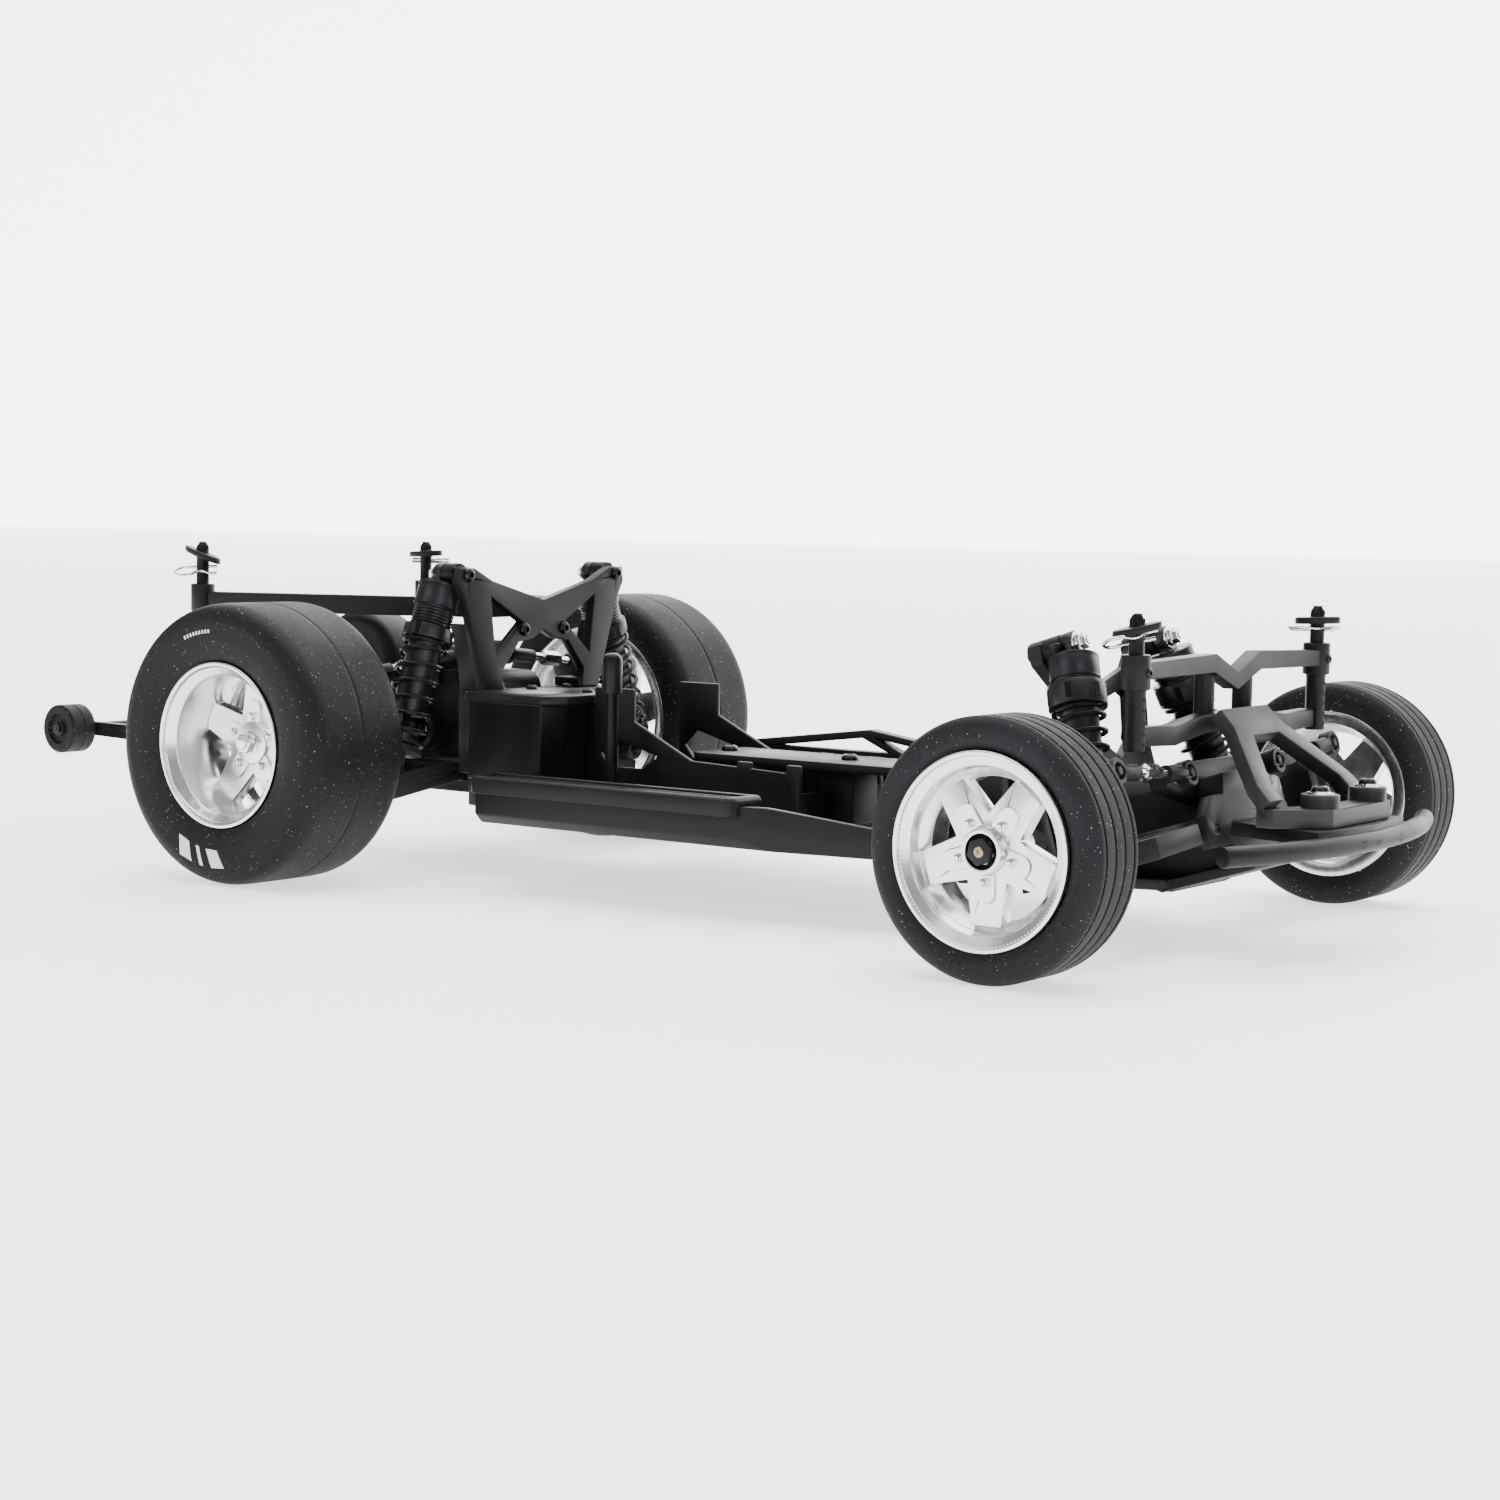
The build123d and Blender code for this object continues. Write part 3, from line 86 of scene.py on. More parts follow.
def front_point(along, y, above):
    """A point of the front suspension, measured from its axle along the leaning directions."""
    return Vector(FRONT_AXLE) + KICKED_FORWARD * along + Vector((0, y, 0)) + KICKED_UP * above


# ------------------------------------------------------------------ material helpers
METAL_SPECULAR = 0.5
MOULDED_SPECULAR = 0.13


def shader(name, color, roughness, metallic=0.0):
    """A new material with plain values, together with its node tree and its shader node."""
    mat = bpy.data.materials.new(name)
    mat.use_nodes = True
    bsdf = mat.node_tree.nodes["Principled BSDF"]
    bsdf.inputs["Base Color"].default_value = (*color, 1)
    bsdf.inputs["Roughness"].default_value = roughness
    bsdf.inputs["Metallic"].default_value = metallic
    bsdf.inputs["Specular IOR Level"].default_value = METAL_SPECULAR if metallic > 0.5 else MOULDED_SPECULAR
    return mat, mat.node_tree, bsdf


def noise(tree, scale, detail=3.0, stretch=None):
    """Noise in the object's own coordinates, drawn out along an axis where stretch is given."""
    coord = tree.nodes.new("ShaderNodeTexCoord")
    tex = tree.nodes.new("ShaderNodeTexNoise")
    tex.inputs["Scale"].default_value = scale
    tex.inputs["Detail"].default_value = detail
    source = coord.outputs["Object"]
    if stretch:
        mapping = tree.nodes.new("ShaderNodeMapping")
        mapping.inputs["Scale"].default_value = stretch
        tree.links.new(source, mapping.inputs["Vector"])
        source = mapping.outputs["Vector"]
    tree.links.new(source, tex.inputs["Vector"])
    return tex.outputs["Fac"]


def ramp(tree, source, low, high, color_low, color_high):
    """Turns a value into a colour between two stops."""
    node = tree.nodes.new("ShaderNodeValToRGB")
    node.color_ramp.elements[0].position = low
    node.color_ramp.elements[1].position = high
    node.color_ramp.elements[0].color = (*color_low, 1)
    node.color_ramp.elements[1].color = (*color_high, 1)
    tree.links.new(source, node.inputs["Fac"])
    return node.outputs["Color"]


def remap(tree, source, low, high):
    """Spreads the middle of a noise over the range from low to high."""
    node = tree.nodes.new("ShaderNodeMapRange")
    node.inputs["From Min"].default_value = 0.3
    node.inputs["From Max"].default_value = 0.7
    node.inputs["To Min"].default_value = low
    node.inputs["To Max"].default_value = high
    tree.links.new(source, node.inputs["Value"])
    return node.outputs["Result"]


def bump(tree, bsdf, source, distance, strength=0.6):
    """Raises the surface by a height in metres where the source is high."""
    node = tree.nodes.new("ShaderNodeBump")
    node.inputs["Distance"].default_value = distance
    node.inputs["Strength"].default_value = strength
    tree.links.new(source, node.inputs["Height"])
    tree.links.new(node.outputs["Normal"], bsdf.inputs["Normal"])


def mix_color(tree, mask, under, over):
    """Lays a plain colour over another one where the mask is white."""
    node = tree.nodes.new("ShaderNodeMix")
    node.data_type = "RGBA"
    tree.links.new(mask, node.inputs["Factor"])
    tree.links.new(under, node.inputs["A"])
    node.inputs["B"].default_value = (*over, 1)
    return node.outputs["Result"]


BLACK_STOP, WHITE_STOP = (0, 0, 0), (1, 1, 1)


def moulded(name, dark, light, rough_low, rough_high, grain=2600.0, depth=0.00006, edge=None):
    """Moulded nylon: fine spark-eroded grain, drifting gloss and slightly rubbed edges."""
    mat, tree, bsdf = shader(name, dark, rough_high)
    broad = noise(tree, 45.0, 4.0)
    fine = noise(tree, grain, 2.0)
    tone = ramp(tree, broad, 0.35, 0.68, dark, light)
    if edge:
        geometry = tree.nodes.new("ShaderNodeNewGeometry")
        rubbed = ramp(tree, geometry.outputs["Pointiness"], 0.515, 0.60, BLACK_STOP, WHITE_STOP)
        tone = mix_color(tree, rubbed, tone, edge)
    tree.links.new(tone, bsdf.inputs["Base Color"])
    tree.links.new(remap(tree, broad, rough_low, rough_high), bsdf.inputs["Roughness"])
    bump(tree, bsdf, fine, depth)
    return mat


def rubber(name, dark, light, rough):
    """Tyre rubber with a faint bloom and scattered specks of dust."""
    mat, tree, bsdf = shader(name, dark, rough)
    bloom = noise(tree, 28.0, 5.0)
    fine = noise(tree, 3400.0, 2.0)
    specks = noise(tree, 1500.0, 1.0)
    dust = ramp(tree, specks, 0.74, 0.765, BLACK_STOP, WHITE_STOP)
    tone = ramp(tree, bloom, 0.32, 0.7, dark, light)
    tree.links.new(mix_color(tree, dust, tone, (0.34, 0.34, 0.33)), bsdf.inputs["Base Color"])
    tree.links.new(remap(tree, bloom, rough - 0.1, rough + 0.06), bsdf.inputs["Roughness"])
    bump(tree, bsdf, fine, 0.00008)
    return mat


def metal(name, color, rough_low, rough_high, grain=900.0, depth=0.00001, stretch=None, metallic=1.0):
    """Metal or lacquered metal with a slightly drifting tone and a fine grain."""
    mat, tree, bsdf = shader(name, color, rough_low, metallic)
    broad = noise(tree, 60.0)
    fine = noise(tree, grain, 3.0, stretch)
    darker = tuple(part * 0.94 for part in color)
    tree.links.new(ramp(tree, broad, 0.3, 0.7, darker, color), bsdf.inputs["Base Color"])
    tree.links.new(remap(tree, fine, rough_low, rough_high), bsdf.inputs["Roughness"])
    bump(tree, bsdf, fine, depth, 0.4)
    return mat


# ------------------------------------------------------------------ materials
PLASTIC = moulded("black_nylon", (0.0055, 0.0055, 0.006), (0.010, 0.010, 0.0105), 0.36, 0.50,
                  edge=(0.024, 0.024, 0.025))
GREY = moulded("worn_grey_nylon", (0.013, 0.013, 0.0135), (0.022, 0.022, 0.0225), 0.36, 0.50,
               edge=(0.08, 0.08, 0.08))
COVER = moulded("cover_nylon", (0.010, 0.010, 0.0105), (0.016, 0.016, 0.0165), 0.40, 0.52)
GLOSS = moulded("box_plastic", (0.005, 0.005, 0.0055), (0.0065, 0.0065, 0.007), 0.27, 0.31, 1800.0, 0.00003,
                edge=(0.025, 0.025, 0.026))
FRONT_RUBBER = rubber("front_rubber", (0.0085, 0.0095, 0.011), (0.014, 0.0155, 0.0175), 0.62)
REAR_RUBBER = rubber("rear_rubber", (0.0055, 0.0057, 0.006), (0.0095, 0.0098, 0.0105), 0.58)
RIM = metal("satin_chrome", (0.80, 0.81, 0.83), 0.20, 0.27, 240.0, 0.000002)
LIP = metal("bright_chrome", (0.90, 0.91, 0.92), 0.16, 0.2, 300.0, 0.000001)
CHROME = metal("polished_steel", (0.72, 0.71, 0.69), 0.10, 0.18, 400.0, 0.000001)
BRASS = metal("waxed_stud", (0.34, 0.25, 0.15), 0.25, 0.4, 900.0, 0.000004)
STEEL = metal("black_oxide_steel", (0.03, 0.03, 0.032), 0.26, 0.40, 1200.0, 0.000004)
ROD = metal("ground_steel", (0.55, 0.55, 0.56), 0.2, 0.32, 1500.0, 0.000003, stretch=(1, 1, 0.1))
SHOCK = metal("anodised_damper", (0.026, 0.027, 0.031), 0.30, 0.40, 1100.0, 0.000004, metallic=0.7)
SPRING = metal("painted_spring", (0.010, 0.010, 0.011), 0.14, 0.24, 800.0, 0.000003, metallic=0.3)
CAN = metal("motor_can", (0.04, 0.04, 0.045), 0.3, 0.4, 900.0, 0.000004, metallic=0.6)
GEAR = moulded("gear_nylon", (0.014, 0.014, 0.0145), (0.022, 0.022, 0.0225), 0.4, 0.5)
WHITE = moulded("tyre_paint", (0.72, 0.72, 0.70), (0.8, 0.8, 0.78), 0.55, 0.65, 1500.0, 0.00005)
# near-black painted shade, laid as thin sheets in recesses, slots and holes where only shade falls
PAINTED_SHADE = moulded("deep_shadow_plastic", (0.002, 0.002, 0.002), (0.003, 0.003, 0.003), 0.6, 0.7)

# ------------------------------------------------------------------ mesh helpers
SHARP_ANGLE = 38.0
ROUND_ANGLE = 60.0


def sharpen(mesh, limit=SHARP_ANGLE):
    """Shades a mesh smooth, with hard edges where two faces meet at more than the limit."""
    bm = bmesh.new()
    bm.from_mesh(mesh)
    for face in bm.faces:
        face.smooth = True
    for edge in bm.edges:
        if len(edge.link_faces) == 2:
            edge.smooth = edge.calc_face_angle(0.0) < math.radians(limit)
    bm.to_mesh(mesh)
    bm.free()


def piece(name, verts, faces, mat, body, limit=SHARP_ANGLE):
    """A named object from points in millimetres. It rides on a body, unless body is None."""
    mesh = bpy.data.meshes.new(name)
    mesh.from_pydata([tuple(part * MM for part in vert) for vert in verts], [], faces)
    mesh.validate()
    bm = bmesh.new()
    bm.from_mesh(mesh)
    bmesh.ops.remove_doubles(bm, verts=bm.verts, dist=1e-7)
    bmesh.ops.recalc_face_normals(bm, faces=bm.faces)
    bm.to_mesh(mesh)
    bm.free()
    sharpen(mesh, limit)
    mesh.materials.append(mat)
    obj = bpy.data.objects.new(name, mesh)
    bpy.context.scene.collection.objects.link(obj)
    if body:
        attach(obj, body)
    return obj


def basis(axis):
    """Two directions across an axis, and the axis itself, all of unit length."""
    n = Vector(axis).normalized()
    hint = FORWARD if abs(n.dot(UPWARD)) > 0.95 else UPWARD
    u = (hint - n * hint.dot(n)).normalized()
    return u, n.cross(u), n


def across(axis, hint):
    """Two directions across an axis, the first as near to the hint as it can be."""
    u = (hint - axis * hint.dot(axis)).normalized()
    return u, axis.cross(u)


def ring_verts(center, axis, profile, segments, shape=None):
    """Points of a turned surface. profile is (distance along the axis, radius)."""
    u, v, n = basis(axis)
    verts = []
    for row, (distance, radius) in enumerate(profile):
        for i in range(segments):
            angle = 2 * math.pi * i / segments
            reach = shape(row, angle, radius) if shape else radius
            spoke = u * math.cos(angle) + v * math.sin(angle)
            verts.append(Vector(center) + n * distance + spoke * reach)
    return verts


def ring_faces(rows, segments, closed=False, base=0):
    """Faces between rows of points. An open surface gets a cap at each end."""
    faces = []
    for row in range(rows if closed else rows - 1):
        a, b = base + row * segments, base + ((row + 1) % rows) * segments
        for i in range(segments):
            j = (i + 1) % segments
            faces.append((a + i, a + j, b + j, b + i))
    if not closed:
        faces.append(tuple(base + i for i in range(segments)))
        faces.append(tuple(base + (rows - 1) * segments + i for i in range(segments)))
    return faces


def lathe(name, center, axis, profile, mat, body, segments=96, closed=False, limit=SHARP_ANGLE):
    """A turned piece."""
    verts = ring_verts(center, axis, profile, segments)
    return piece(name, verts, ring_faces(len(profile), segments, closed), mat, body, limit)


class Many:
    """Collects small solids so that they make one object."""

    def __init__(self):
        self.verts = []
        self.faces = []

    def turned(self, center, axis, profile, segments=32, shape=None, closed=False):
        """A turned solid, or a ring where the profile is closed."""
        base = len(self.verts)
        self.verts += ring_verts(center, axis, profile, segments, shape)
        self.faces += ring_faces(len(profile), segments, closed, base)

    def prism(self, center, u, v, outline, thickness, inset):
        """A flat plate with chamfered rims. outline is in (u, v), thickness along u x v."""
        u, v = Vector(u).normalized(), Vector(v).normalized()
        n = u.cross(v)
        count = len(outline)
        middle = Vector((sum(p[0] for p in outline) / count, sum(p[1] for p in outline) / count))
        size = max((Vector(p) - middle).length for p in outline)
        base = len(self.verts)
        for height, scale in ((0.0, 1.0), (thickness - inset, 1.0), (thickness, 1.0 - inset / size)):
            for p in outline:
                q = middle + (Vector(p) - middle) * scale
                self.verts.append(Vector(center) + u * q.x + v * q.y + n * height)
        self.faces += ring_faces(3, count, False, base)

    def tube(self, points, radius, sides=10):
        """A round wire along a list of points."""
        base, last = len(self.verts), len(points) - 1
        u = None
        for i, point in enumerate(points):
            along = (points[min(i + 1, last)] - points[max(i - 1, 0)]).normalized()
            if u is None:
                u, w, _ = basis(along)
            else:
                u, w = across(along, u)
            for k in range(sides):
                angle = 2 * math.pi * k / sides
                self.verts.append(point + (u * math.cos(angle) + w * math.sin(angle)) * radius)
        self.faces += ring_faces(len(points), sides, False, base)

    def make(self, name, mat, body, slot, limit=SHARP_ANGLE):
        """Makes one object of everything collected."""
        return piece(name, self.verts, self.faces, mat, body, limit)


def hexagon(angle, radius):
    """Distance to the rim of a hexagon whose flats are a radius away from its middle."""
    return radius / math.cos(angle % (math.pi / 3) - math.pi / 6)


def screw(many, center, axis, r):
    """Dome head of radius r with a hexagon socket, standing on center."""
    dome = [(0, 0.97 * r), (0.12 * r, r), (0.34 * r, 0.93 * r), (0.52 * r, 0.78 * r), (0.62 * r, 0.56 * r)]
    bore = [(0.62 * r, 0.46 * r), (0.2 * r, 0.44 * r)]

    def socket(row, angle, radius):
        return hexagon(angle, radius) * 0.93 if row >= len(dome) else radius
    many.turned(center, axis, dome + bore, 36, socket)


def nut(many, center, axis, r, height, bore):
    """Flanged hexagon nut with a chamfered top and a stud end in its bore."""
    h, foot = height, 1.22 * r
    flange = [(0, foot), (0.22 * h, foot)]
    body = [(0.3 * h, r), (0.85 * h, r), (0.98 * h, 0.9 * r)]
    stud_end = [(h, 1.15 * bore), (0.8 * h, bore), (0.8 * h, 0.96 * bore), (1.12 * h, 0.9 * bore)]

    def flats(row, angle, radius):
        return hexagon(angle, radius) * 0.9 if 2 <= row <= 4 else radius
    many.turned(center, axis, flange + body + stud_end, 36, flats)


def bush(many, center, axis, foot, neck, shoulder=0.7, height=1.2):
    """A low turned washer with a narrower neck."""
    many.turned(center, axis, [(0, foot), (0.5, foot), (shoulder, neck), (height, neck)], 40)


def cleaned_copy(node):
    """A copy of a CAD node's mesh, with its flat regions joined and those with many corners cut up again."""
    mesh = NODES[node].data.copy()
    mesh.name = node + "_body"
    bm = bmesh.new()
    bm.from_mesh(mesh)
    bmesh.ops.remove_doubles(bm, verts=bm.verts, dist=2e-6)
    bmesh.ops.dissolve_limit(bm, angle_limit=math.radians(1.0), verts=bm.verts, edges=bm.edges)
    bmesh.ops.triangulate(bm, faces=[face for face in bm.faces if len(face.verts) > 4])
    bm.to_mesh(mesh)
    bm.free()
    mesh.materials.clear()
    return mesh


def round_edges(obj, width, segments):
    """Rounds the hard edges of an object for good."""
    bevel = obj.modifiers.new("edge", "BEVEL")
    bevel.limit_method = "ANGLE"
    bevel.angle_limit = math.radians(32.0)
    bevel.width = width * MM
    bevel.segments = segments
    bevel.use_clamp_overlap = False
    bpy.context.view_layer.update()
    rounded = bpy.data.meshes.new_from_object(obj.evaluated_get(bpy.context.evaluated_depsgraph_get()))
    obj.modifiers.clear()
    obj.data = rounded


def soften(node, mat, width, segments=2):
    """Stands for a CAD node with a copy whose hard edges are rounded by width, in millimetres."""
    mesh = cleaned_copy(node)
    mesh.materials.append(mat)
    obj = bpy.data.objects.new(node + "_body", mesh)
    bpy.context.scene.collection.objects.link(obj)
    if width > 0:
        round_edges(obj, width, segments)
    sharpen(obj.data, 42.0)
    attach(obj, NODES[node]["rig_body"])
    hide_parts(node)
    return obj


# ------------------------------------------------------------------ parts that keep their CAD shape
SINGLE_PARTS = {
    "chassis_tub": (PLASTIC, 0.6), "battery_straps": (PLASTIC, 0.5), "side_guards": (PLASTIC, 0.5),
    "gearbox_case": (PLASTIC, 0.3), "gear_cover": (COVER, 0.6), "motor": (CAN, 0.4),
    "rear_shock_tower": (PLASTIC, 0.55), "body_mounts": (PLASTIC, 0.5), "front_bulkhead": (PLASTIC, 0.5),
    "front_shock_tower": (PLASTIC, 0.5), "bumper_brace": (GREY, 0.4), "front_bumper": (PLASTIC, 0.4),
    "steering_servo": (GLOSS, 0.4), "receiver_box": (GLOSS, 0.7), "antenna_mast": (GLOSS, 0.3),
    "wheelie_bar": (PLASTIC, 0.5), "steering_rack": (PLASTIC, 0.3), "servo_horn": (PLASTIC, 0.2),
    "spur_gear": (GEAR, 0.0), "pinion_gear": (ROD, 0.0),
}
PAIRED_MOULDINGS = ("front_arm", "rear_arm", "caster_block", "rear_hub", "steering_knuckle",
                    "front_camber_link", "rear_camber_link", "tie_rod")
softened = {node: soften(node, mat, width) for node, (mat, width) in SINGLE_PARTS.items()}
for side, word in SIDES:
    for part in PAIRED_MOULDINGS:
        soften(f"{part}_{word}", PLASTIC, 0.3)
    for end in ("front", "rear"):
        soften(f"{end}_shock_body_{word}", SHOCK, 0.3)
        soften(f"{end}_shock_rod_{word}", PLASTIC, 0.25)
        soften(f"{end}_rim_{word}", RIM, 0.35, 3)
    soften(f"half_shaft_{word}", ROD, 0.25)

# ------------------------------------------------------------------ body posts
PEG_RADIUS = 2.5
DOME_ANGLE = math.radians(74)
DOME_HEIGHT = 2.1
FRONT_REST, FRONT_PEG_TOP = 104.6, 110.9
REAR_REST, REAR_PEG_TOP = 119.0, 125.4


def shape_post(mesh, x, y, rest, top, tip):
    """Domes the top of a post's peg, and tips its oval rest by so much per millimetre along x and y."""
    for vert in mesh.vertices:
        away = Vector((vert.co.x / MM - x, vert.co.y / MM - y))
        z = vert.co.z / MM
        if away.length < PEG_RADIUS + 0.3 and z > top - 0.62:
            turn = min(1.0, max(0.0, (z - top + 0.52) / 0.5)) * DOME_ANGLE
            z = top - DOME_HEIGHT + DOME_HEIGHT * math.sin(turn) / math.sin(DOME_ANGLE)
            if away.length > 0.1:
                away = away.normalized() * PEG_RADIUS * math.cos(turn)
        elif PEG_RADIUS - 0.2 < away.length < 9.5 and rest - 0.4 < z < rest + 2.9:
            z += away.dot(Vector(tip))
        else:
            continue
        vert.co = Vector((x + away.x, y + away.y, z)) * MM


mounts_mesh = softened["body_mounts"].data
shape_post(mounts_mesh, FRONT_POST_X, -FRONT_POST_Y, FRONT_REST, FRONT_PEG_TOP, (0.20, 0.15))
shape_post(mounts_mesh, FRONT_POST_X, FRONT_POST_Y, FRONT_REST, FRONT_PEG_TOP, (0.04, 0.0))
shape_post(mounts_mesh, REAR_POST_X, -REAR_POST_Y, REAR_REST, REAR_PEG_TOP, (-0.30, -0.20))
shape_post(mounts_mesh, REAR_POST_X, REAR_POST_Y, REAR_REST, REAR_PEG_TOP, (0.05, 0.02))

# ------------------------------------------------------------------ tyres
TREAD_RADIUS = 40.66
GROOVE_BOTTOM = 39.7
FIRST_GROOVE, GROOVE_PITCH, GROOVES = 111.6, 5.6, 4
SLICK_RADIUS = 52.18
SEAM_MIDDLE = 107.5


def smooth_profile(points, steps=5):
    """Rounds the inner corners of an open profile with short quadratic arcs."""
    out = [points[0]]
    for before, corner, after in zip(points, points[1:], points[2:]):
        a, b, c = Vector(before), Vector(corner), Vector(after)
        d = min((a - b).length, (c - b).length) * 0.45
        start, end = b + (a - b).normalized() * d, b + (c - b).normalized() * d
        for k in range(steps + 1):
            t = k / steps
            out.append(tuple(start * (1 - t) ** 2 + b * 2 * t * (1 - t) + end * t * t))
    return out + [points[-1]]


def front_tyre_profile():
    """Section of a front tyre as (distance from the car's middle, radius), with four ring grooves."""
    inner = [(108.4, 30.7), (107.6, 31.6), (106.2, 34.0), (106.05, 36.6), (107.4, 39.3), (109.4, 40.55),
             (110.5, TREAD_RADIUS)]
    tread = []
    for k in range(GROOVES):
        y = FIRST_GROOVE + GROOVE_PITCH * k
        tread += [(y - 0.9, TREAD_RADIUS), (y - 0.55, TREAD_RADIUS - 0.04), (y - 0.45, GROOVE_BOTTOM),
                  (y + 0.45, GROOVE_BOTTOM), (y + 0.55, TREAD_RADIUS - 0.04), (y + 0.9, TREAD_RADIUS)]
    outer = [(129.6, TREAD_RADIUS), (130.5, 40.5), (132.3, 39.2), (133.5, 36.8), (133.45, 33.4),
             (132.6, 31.7), (131.9, 30.7)]
    return smooth_profile(inner) + tread + smooth_profile(outer)


def rear_tyre_profile():
    """Section of a rear slick as (distance from the car's middle, radius), with one fine seam."""
    inner = [(85.0, 39.1), (84.2, 40.4), (83.65, 43.0), (83.7, 47.4), (85.7, 50.5), (89.0, 51.9),
             (93.0, 52.12)]
    seam = [(SEAM_MIDDLE + offset, SLICK_RADIUS - depth) for offset, depth in (
        (-1.5, 0.0), (-0.6, 0.0), (-0.25, 0.2), (0.25, 0.2), (0.6, 0.0), (1.5, 0.0))]
    outer = [(122.0, 52.12), (126.6, 51.9), (130.3, 50.4), (132.2, 46.5), (132.0, 38.5), (131.0, 33.6),
             (130.0, 31.2)]
    return smooth_profile(inner) + seam + smooth_profile(outer)


def front_wall(radius):
    """How far the front tyre's outer wall is from the car's middle, at a radius."""
    bulge = math.sin(max(0.0, min(1.0, (radius - 31.7) / 6.3)) * math.pi)
    return 132.6 + 0.9025 * bulge


def rear_wall(radius):
    """How far the rear tyre's outer wall is from the car's middle, at a radius."""
    points = [(31.2, 130.0), (33.6, 131.0), (38.5, 131.95), (46.5, 132.1), (50.6, 130.2)]
    for (r0, y0), (r1, y1) in zip(points, points[1:]):
        if radius <= r1:
            return y0 + (y1 - y0) * (radius - r0) / (r1 - r0)
    return points[-1][1]


def sidewall_mark(many, axle, side, radii, wall, angle, half_angle, slant=0.0, steps=6, lift=0.16):
    """A raised bar on the outer sidewall between two radii, centred on an angle in degrees."""
    base = len(many.verts)
    for level in (-0.3, lift):
        for k in range(steps + 1):
            t = k / steps
            radius = radii[0] + (radii[1] - radii[0]) * t
            for edge in (-1, 1):
                a = math.radians(angle + slant * (t - 0.5) + edge * half_angle)
                y = side * (wall(radius) + level)
                many.verts.append((axle[0] + radius * math.cos(a), y, axle[2] + radius * math.sin(a)))
    n = (steps + 1) * 2
    for k in range(steps):
        a = base + 2 * k
        many.faces.append((a + n, a + n + 1, a + n + 3, a + n + 2))
        many.faces.append((a, a + n, a + n + 2, a + 2))
        many.faces.append((a + 1, a + 3, a + n + 3, a + n + 1))
    many.faces.append((base, base + 1, base + n + 1, base + n))
    many.faces.append((base + n - 2, base + 2 * n - 2, base + 2 * n - 1, base + n - 1))


def front_tyre_marks(side, word):
    """Three groups of short raised bars in the front tyre's own rubber."""
    raised = Many()
    for start, count in ((-35, 9), (95, 8), (-140, 8)):
        for k in range(count):
            angle, slant = start + 5.6 * k, (-3, 2, 4)[k % 3]
            sidewall_mark(raised, FRONT_AXLE, side, (34.2, 37.2), front_wall, angle, 1.5, slant)
    raised.make(f"front_tyre_{word}_marks", FRONT_RUBBER, f"front_wheel_{word}", "tyre")


def rear_tyre_marks(side, word):
    """Painted blocks at the bottom of the slick and a row of small bars at its top."""
    paint = Many()
    for centre, half in ((-112, 4.2), (-101, 1.2), (-90, 4.2)):
        sidewall_mark(paint, REAR_AXLE, side, (38.8, 45.4), rear_wall, centre, half, 5, lift=0.12)
    for k in range(9):
        angle = 94 + 2.2 * k
        sidewall_mark(paint, REAR_AXLE, side, (41.3, 42.6), rear_wall, angle, 0.55, steps=2, lift=0.1)
    paint.make(f"rear_tyre_{word}_marks", WHITE, f"rear_wheel_{word}", "tyre")


for side, word in SIDES:
    outward = (0, side, 0)
    tyre = lathe(f"front_tyre_{word}_rubber", FRONT_AXLE, outward, front_tyre_profile(), FRONT_RUBBER,
                 f"front_wheel_{word}", 192, True, 34)
    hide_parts(f"front_tyre_{word}")
    tyre = lathe(f"rear_tyre_{word}_rubber", REAR_AXLE, outward, rear_tyre_profile(), REAR_RUBBER,
                 f"rear_wheel_{word}", 192, True, 34)
    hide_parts(f"rear_tyre_{word}")
    front_tyre_marks(side, word)
    rear_tyre_marks(side, word)

# ------------------------------------------------------------------ wheels
SPOKES = 5
BEADS = 132
# axle, distance of the spokes' faces from the car's middle, angle of the first spoke, radius of the lugs
WHEELS = {"front": (FRONT_AXLE, 128.5, -90.0, 9.6), "rear": (REAR_AXLE, 112.0, 15.0, 10.0)}
PAD_HALF = [(6.6, 3.7), (12.6, 3.7), (14.6, 3.3), (15.9, 2.0)]
PAD_OUTLINE = [(reach, -half) for reach, half in PAD_HALF] + [(16.3, 0)] + PAD_HALF[::-1]


def wheel_point(axle, y, radius=0.0, angle=0.0):
    """A point at a radius and an angle from an axle, at a distance y from the car's middle."""
    return (axle[0] + radius * math.cos(angle), y, axle[2] + radius * math.sin(angle))


def spoke_angles(first):
    """The spokes' angles in radians, from the first one's in degrees."""
    return [math.radians(first + 360 / SPOKES * k) for k in range(SPOKES)]


def wheel_lugs(label, side, word):
    """A chrome lug nut on each spoke."""
    axle, face_y, first, lug_radius = WHEELS[label]
    lugs = Many()
    for a in spoke_angles(first):
        centre = wheel_point(axle, side * (face_y - 0.1), lug_radius, a)
        nut(lugs, centre, (0, side, 0), r=1.55, height=2.6, bore=0.8)
    lugs.make(f"{label}_lugs_{word}", CHROME, f"{label}_wheel_{word}", "rim")


def spoke_pads(label, side, word):
    """A raised pad with a round end on each spoke."""
    axle, face_y, first, _ = WHEELS[label]
    pads = Many()
    for a in spoke_angles(first):
        out, over = (math.cos(a), 0, math.sin(a)), (math.sin(a) * side, 0, -math.cos(a) * side)
        centre = wheel_point(axle, side * (face_y - 0.2))
        pads.prism(centre, out, over, PAD_OUTLINE, thickness=1.1, inset=1.0)
    pads.make(f"{label}_pads_{word}", RIM, f"{label}_wheel_{word}", "rim")


def rim_beads(side, word):
    """A ring of small beads along the front rim's lip."""
    beads = Many()
    for k in range(BEADS):
        centre = wheel_point(FRONT_AXLE, side * 133.05, 28.6, 2 * math.pi * k / BEADS)
        beads.turned(centre, (0, side, 0), [(0, 0.34), (0.2, 0.3), (0.32, 0.12)], 8)
    beads.make(f"front_beads_{word}", LIP, f"front_wheel_{word}", "rim")


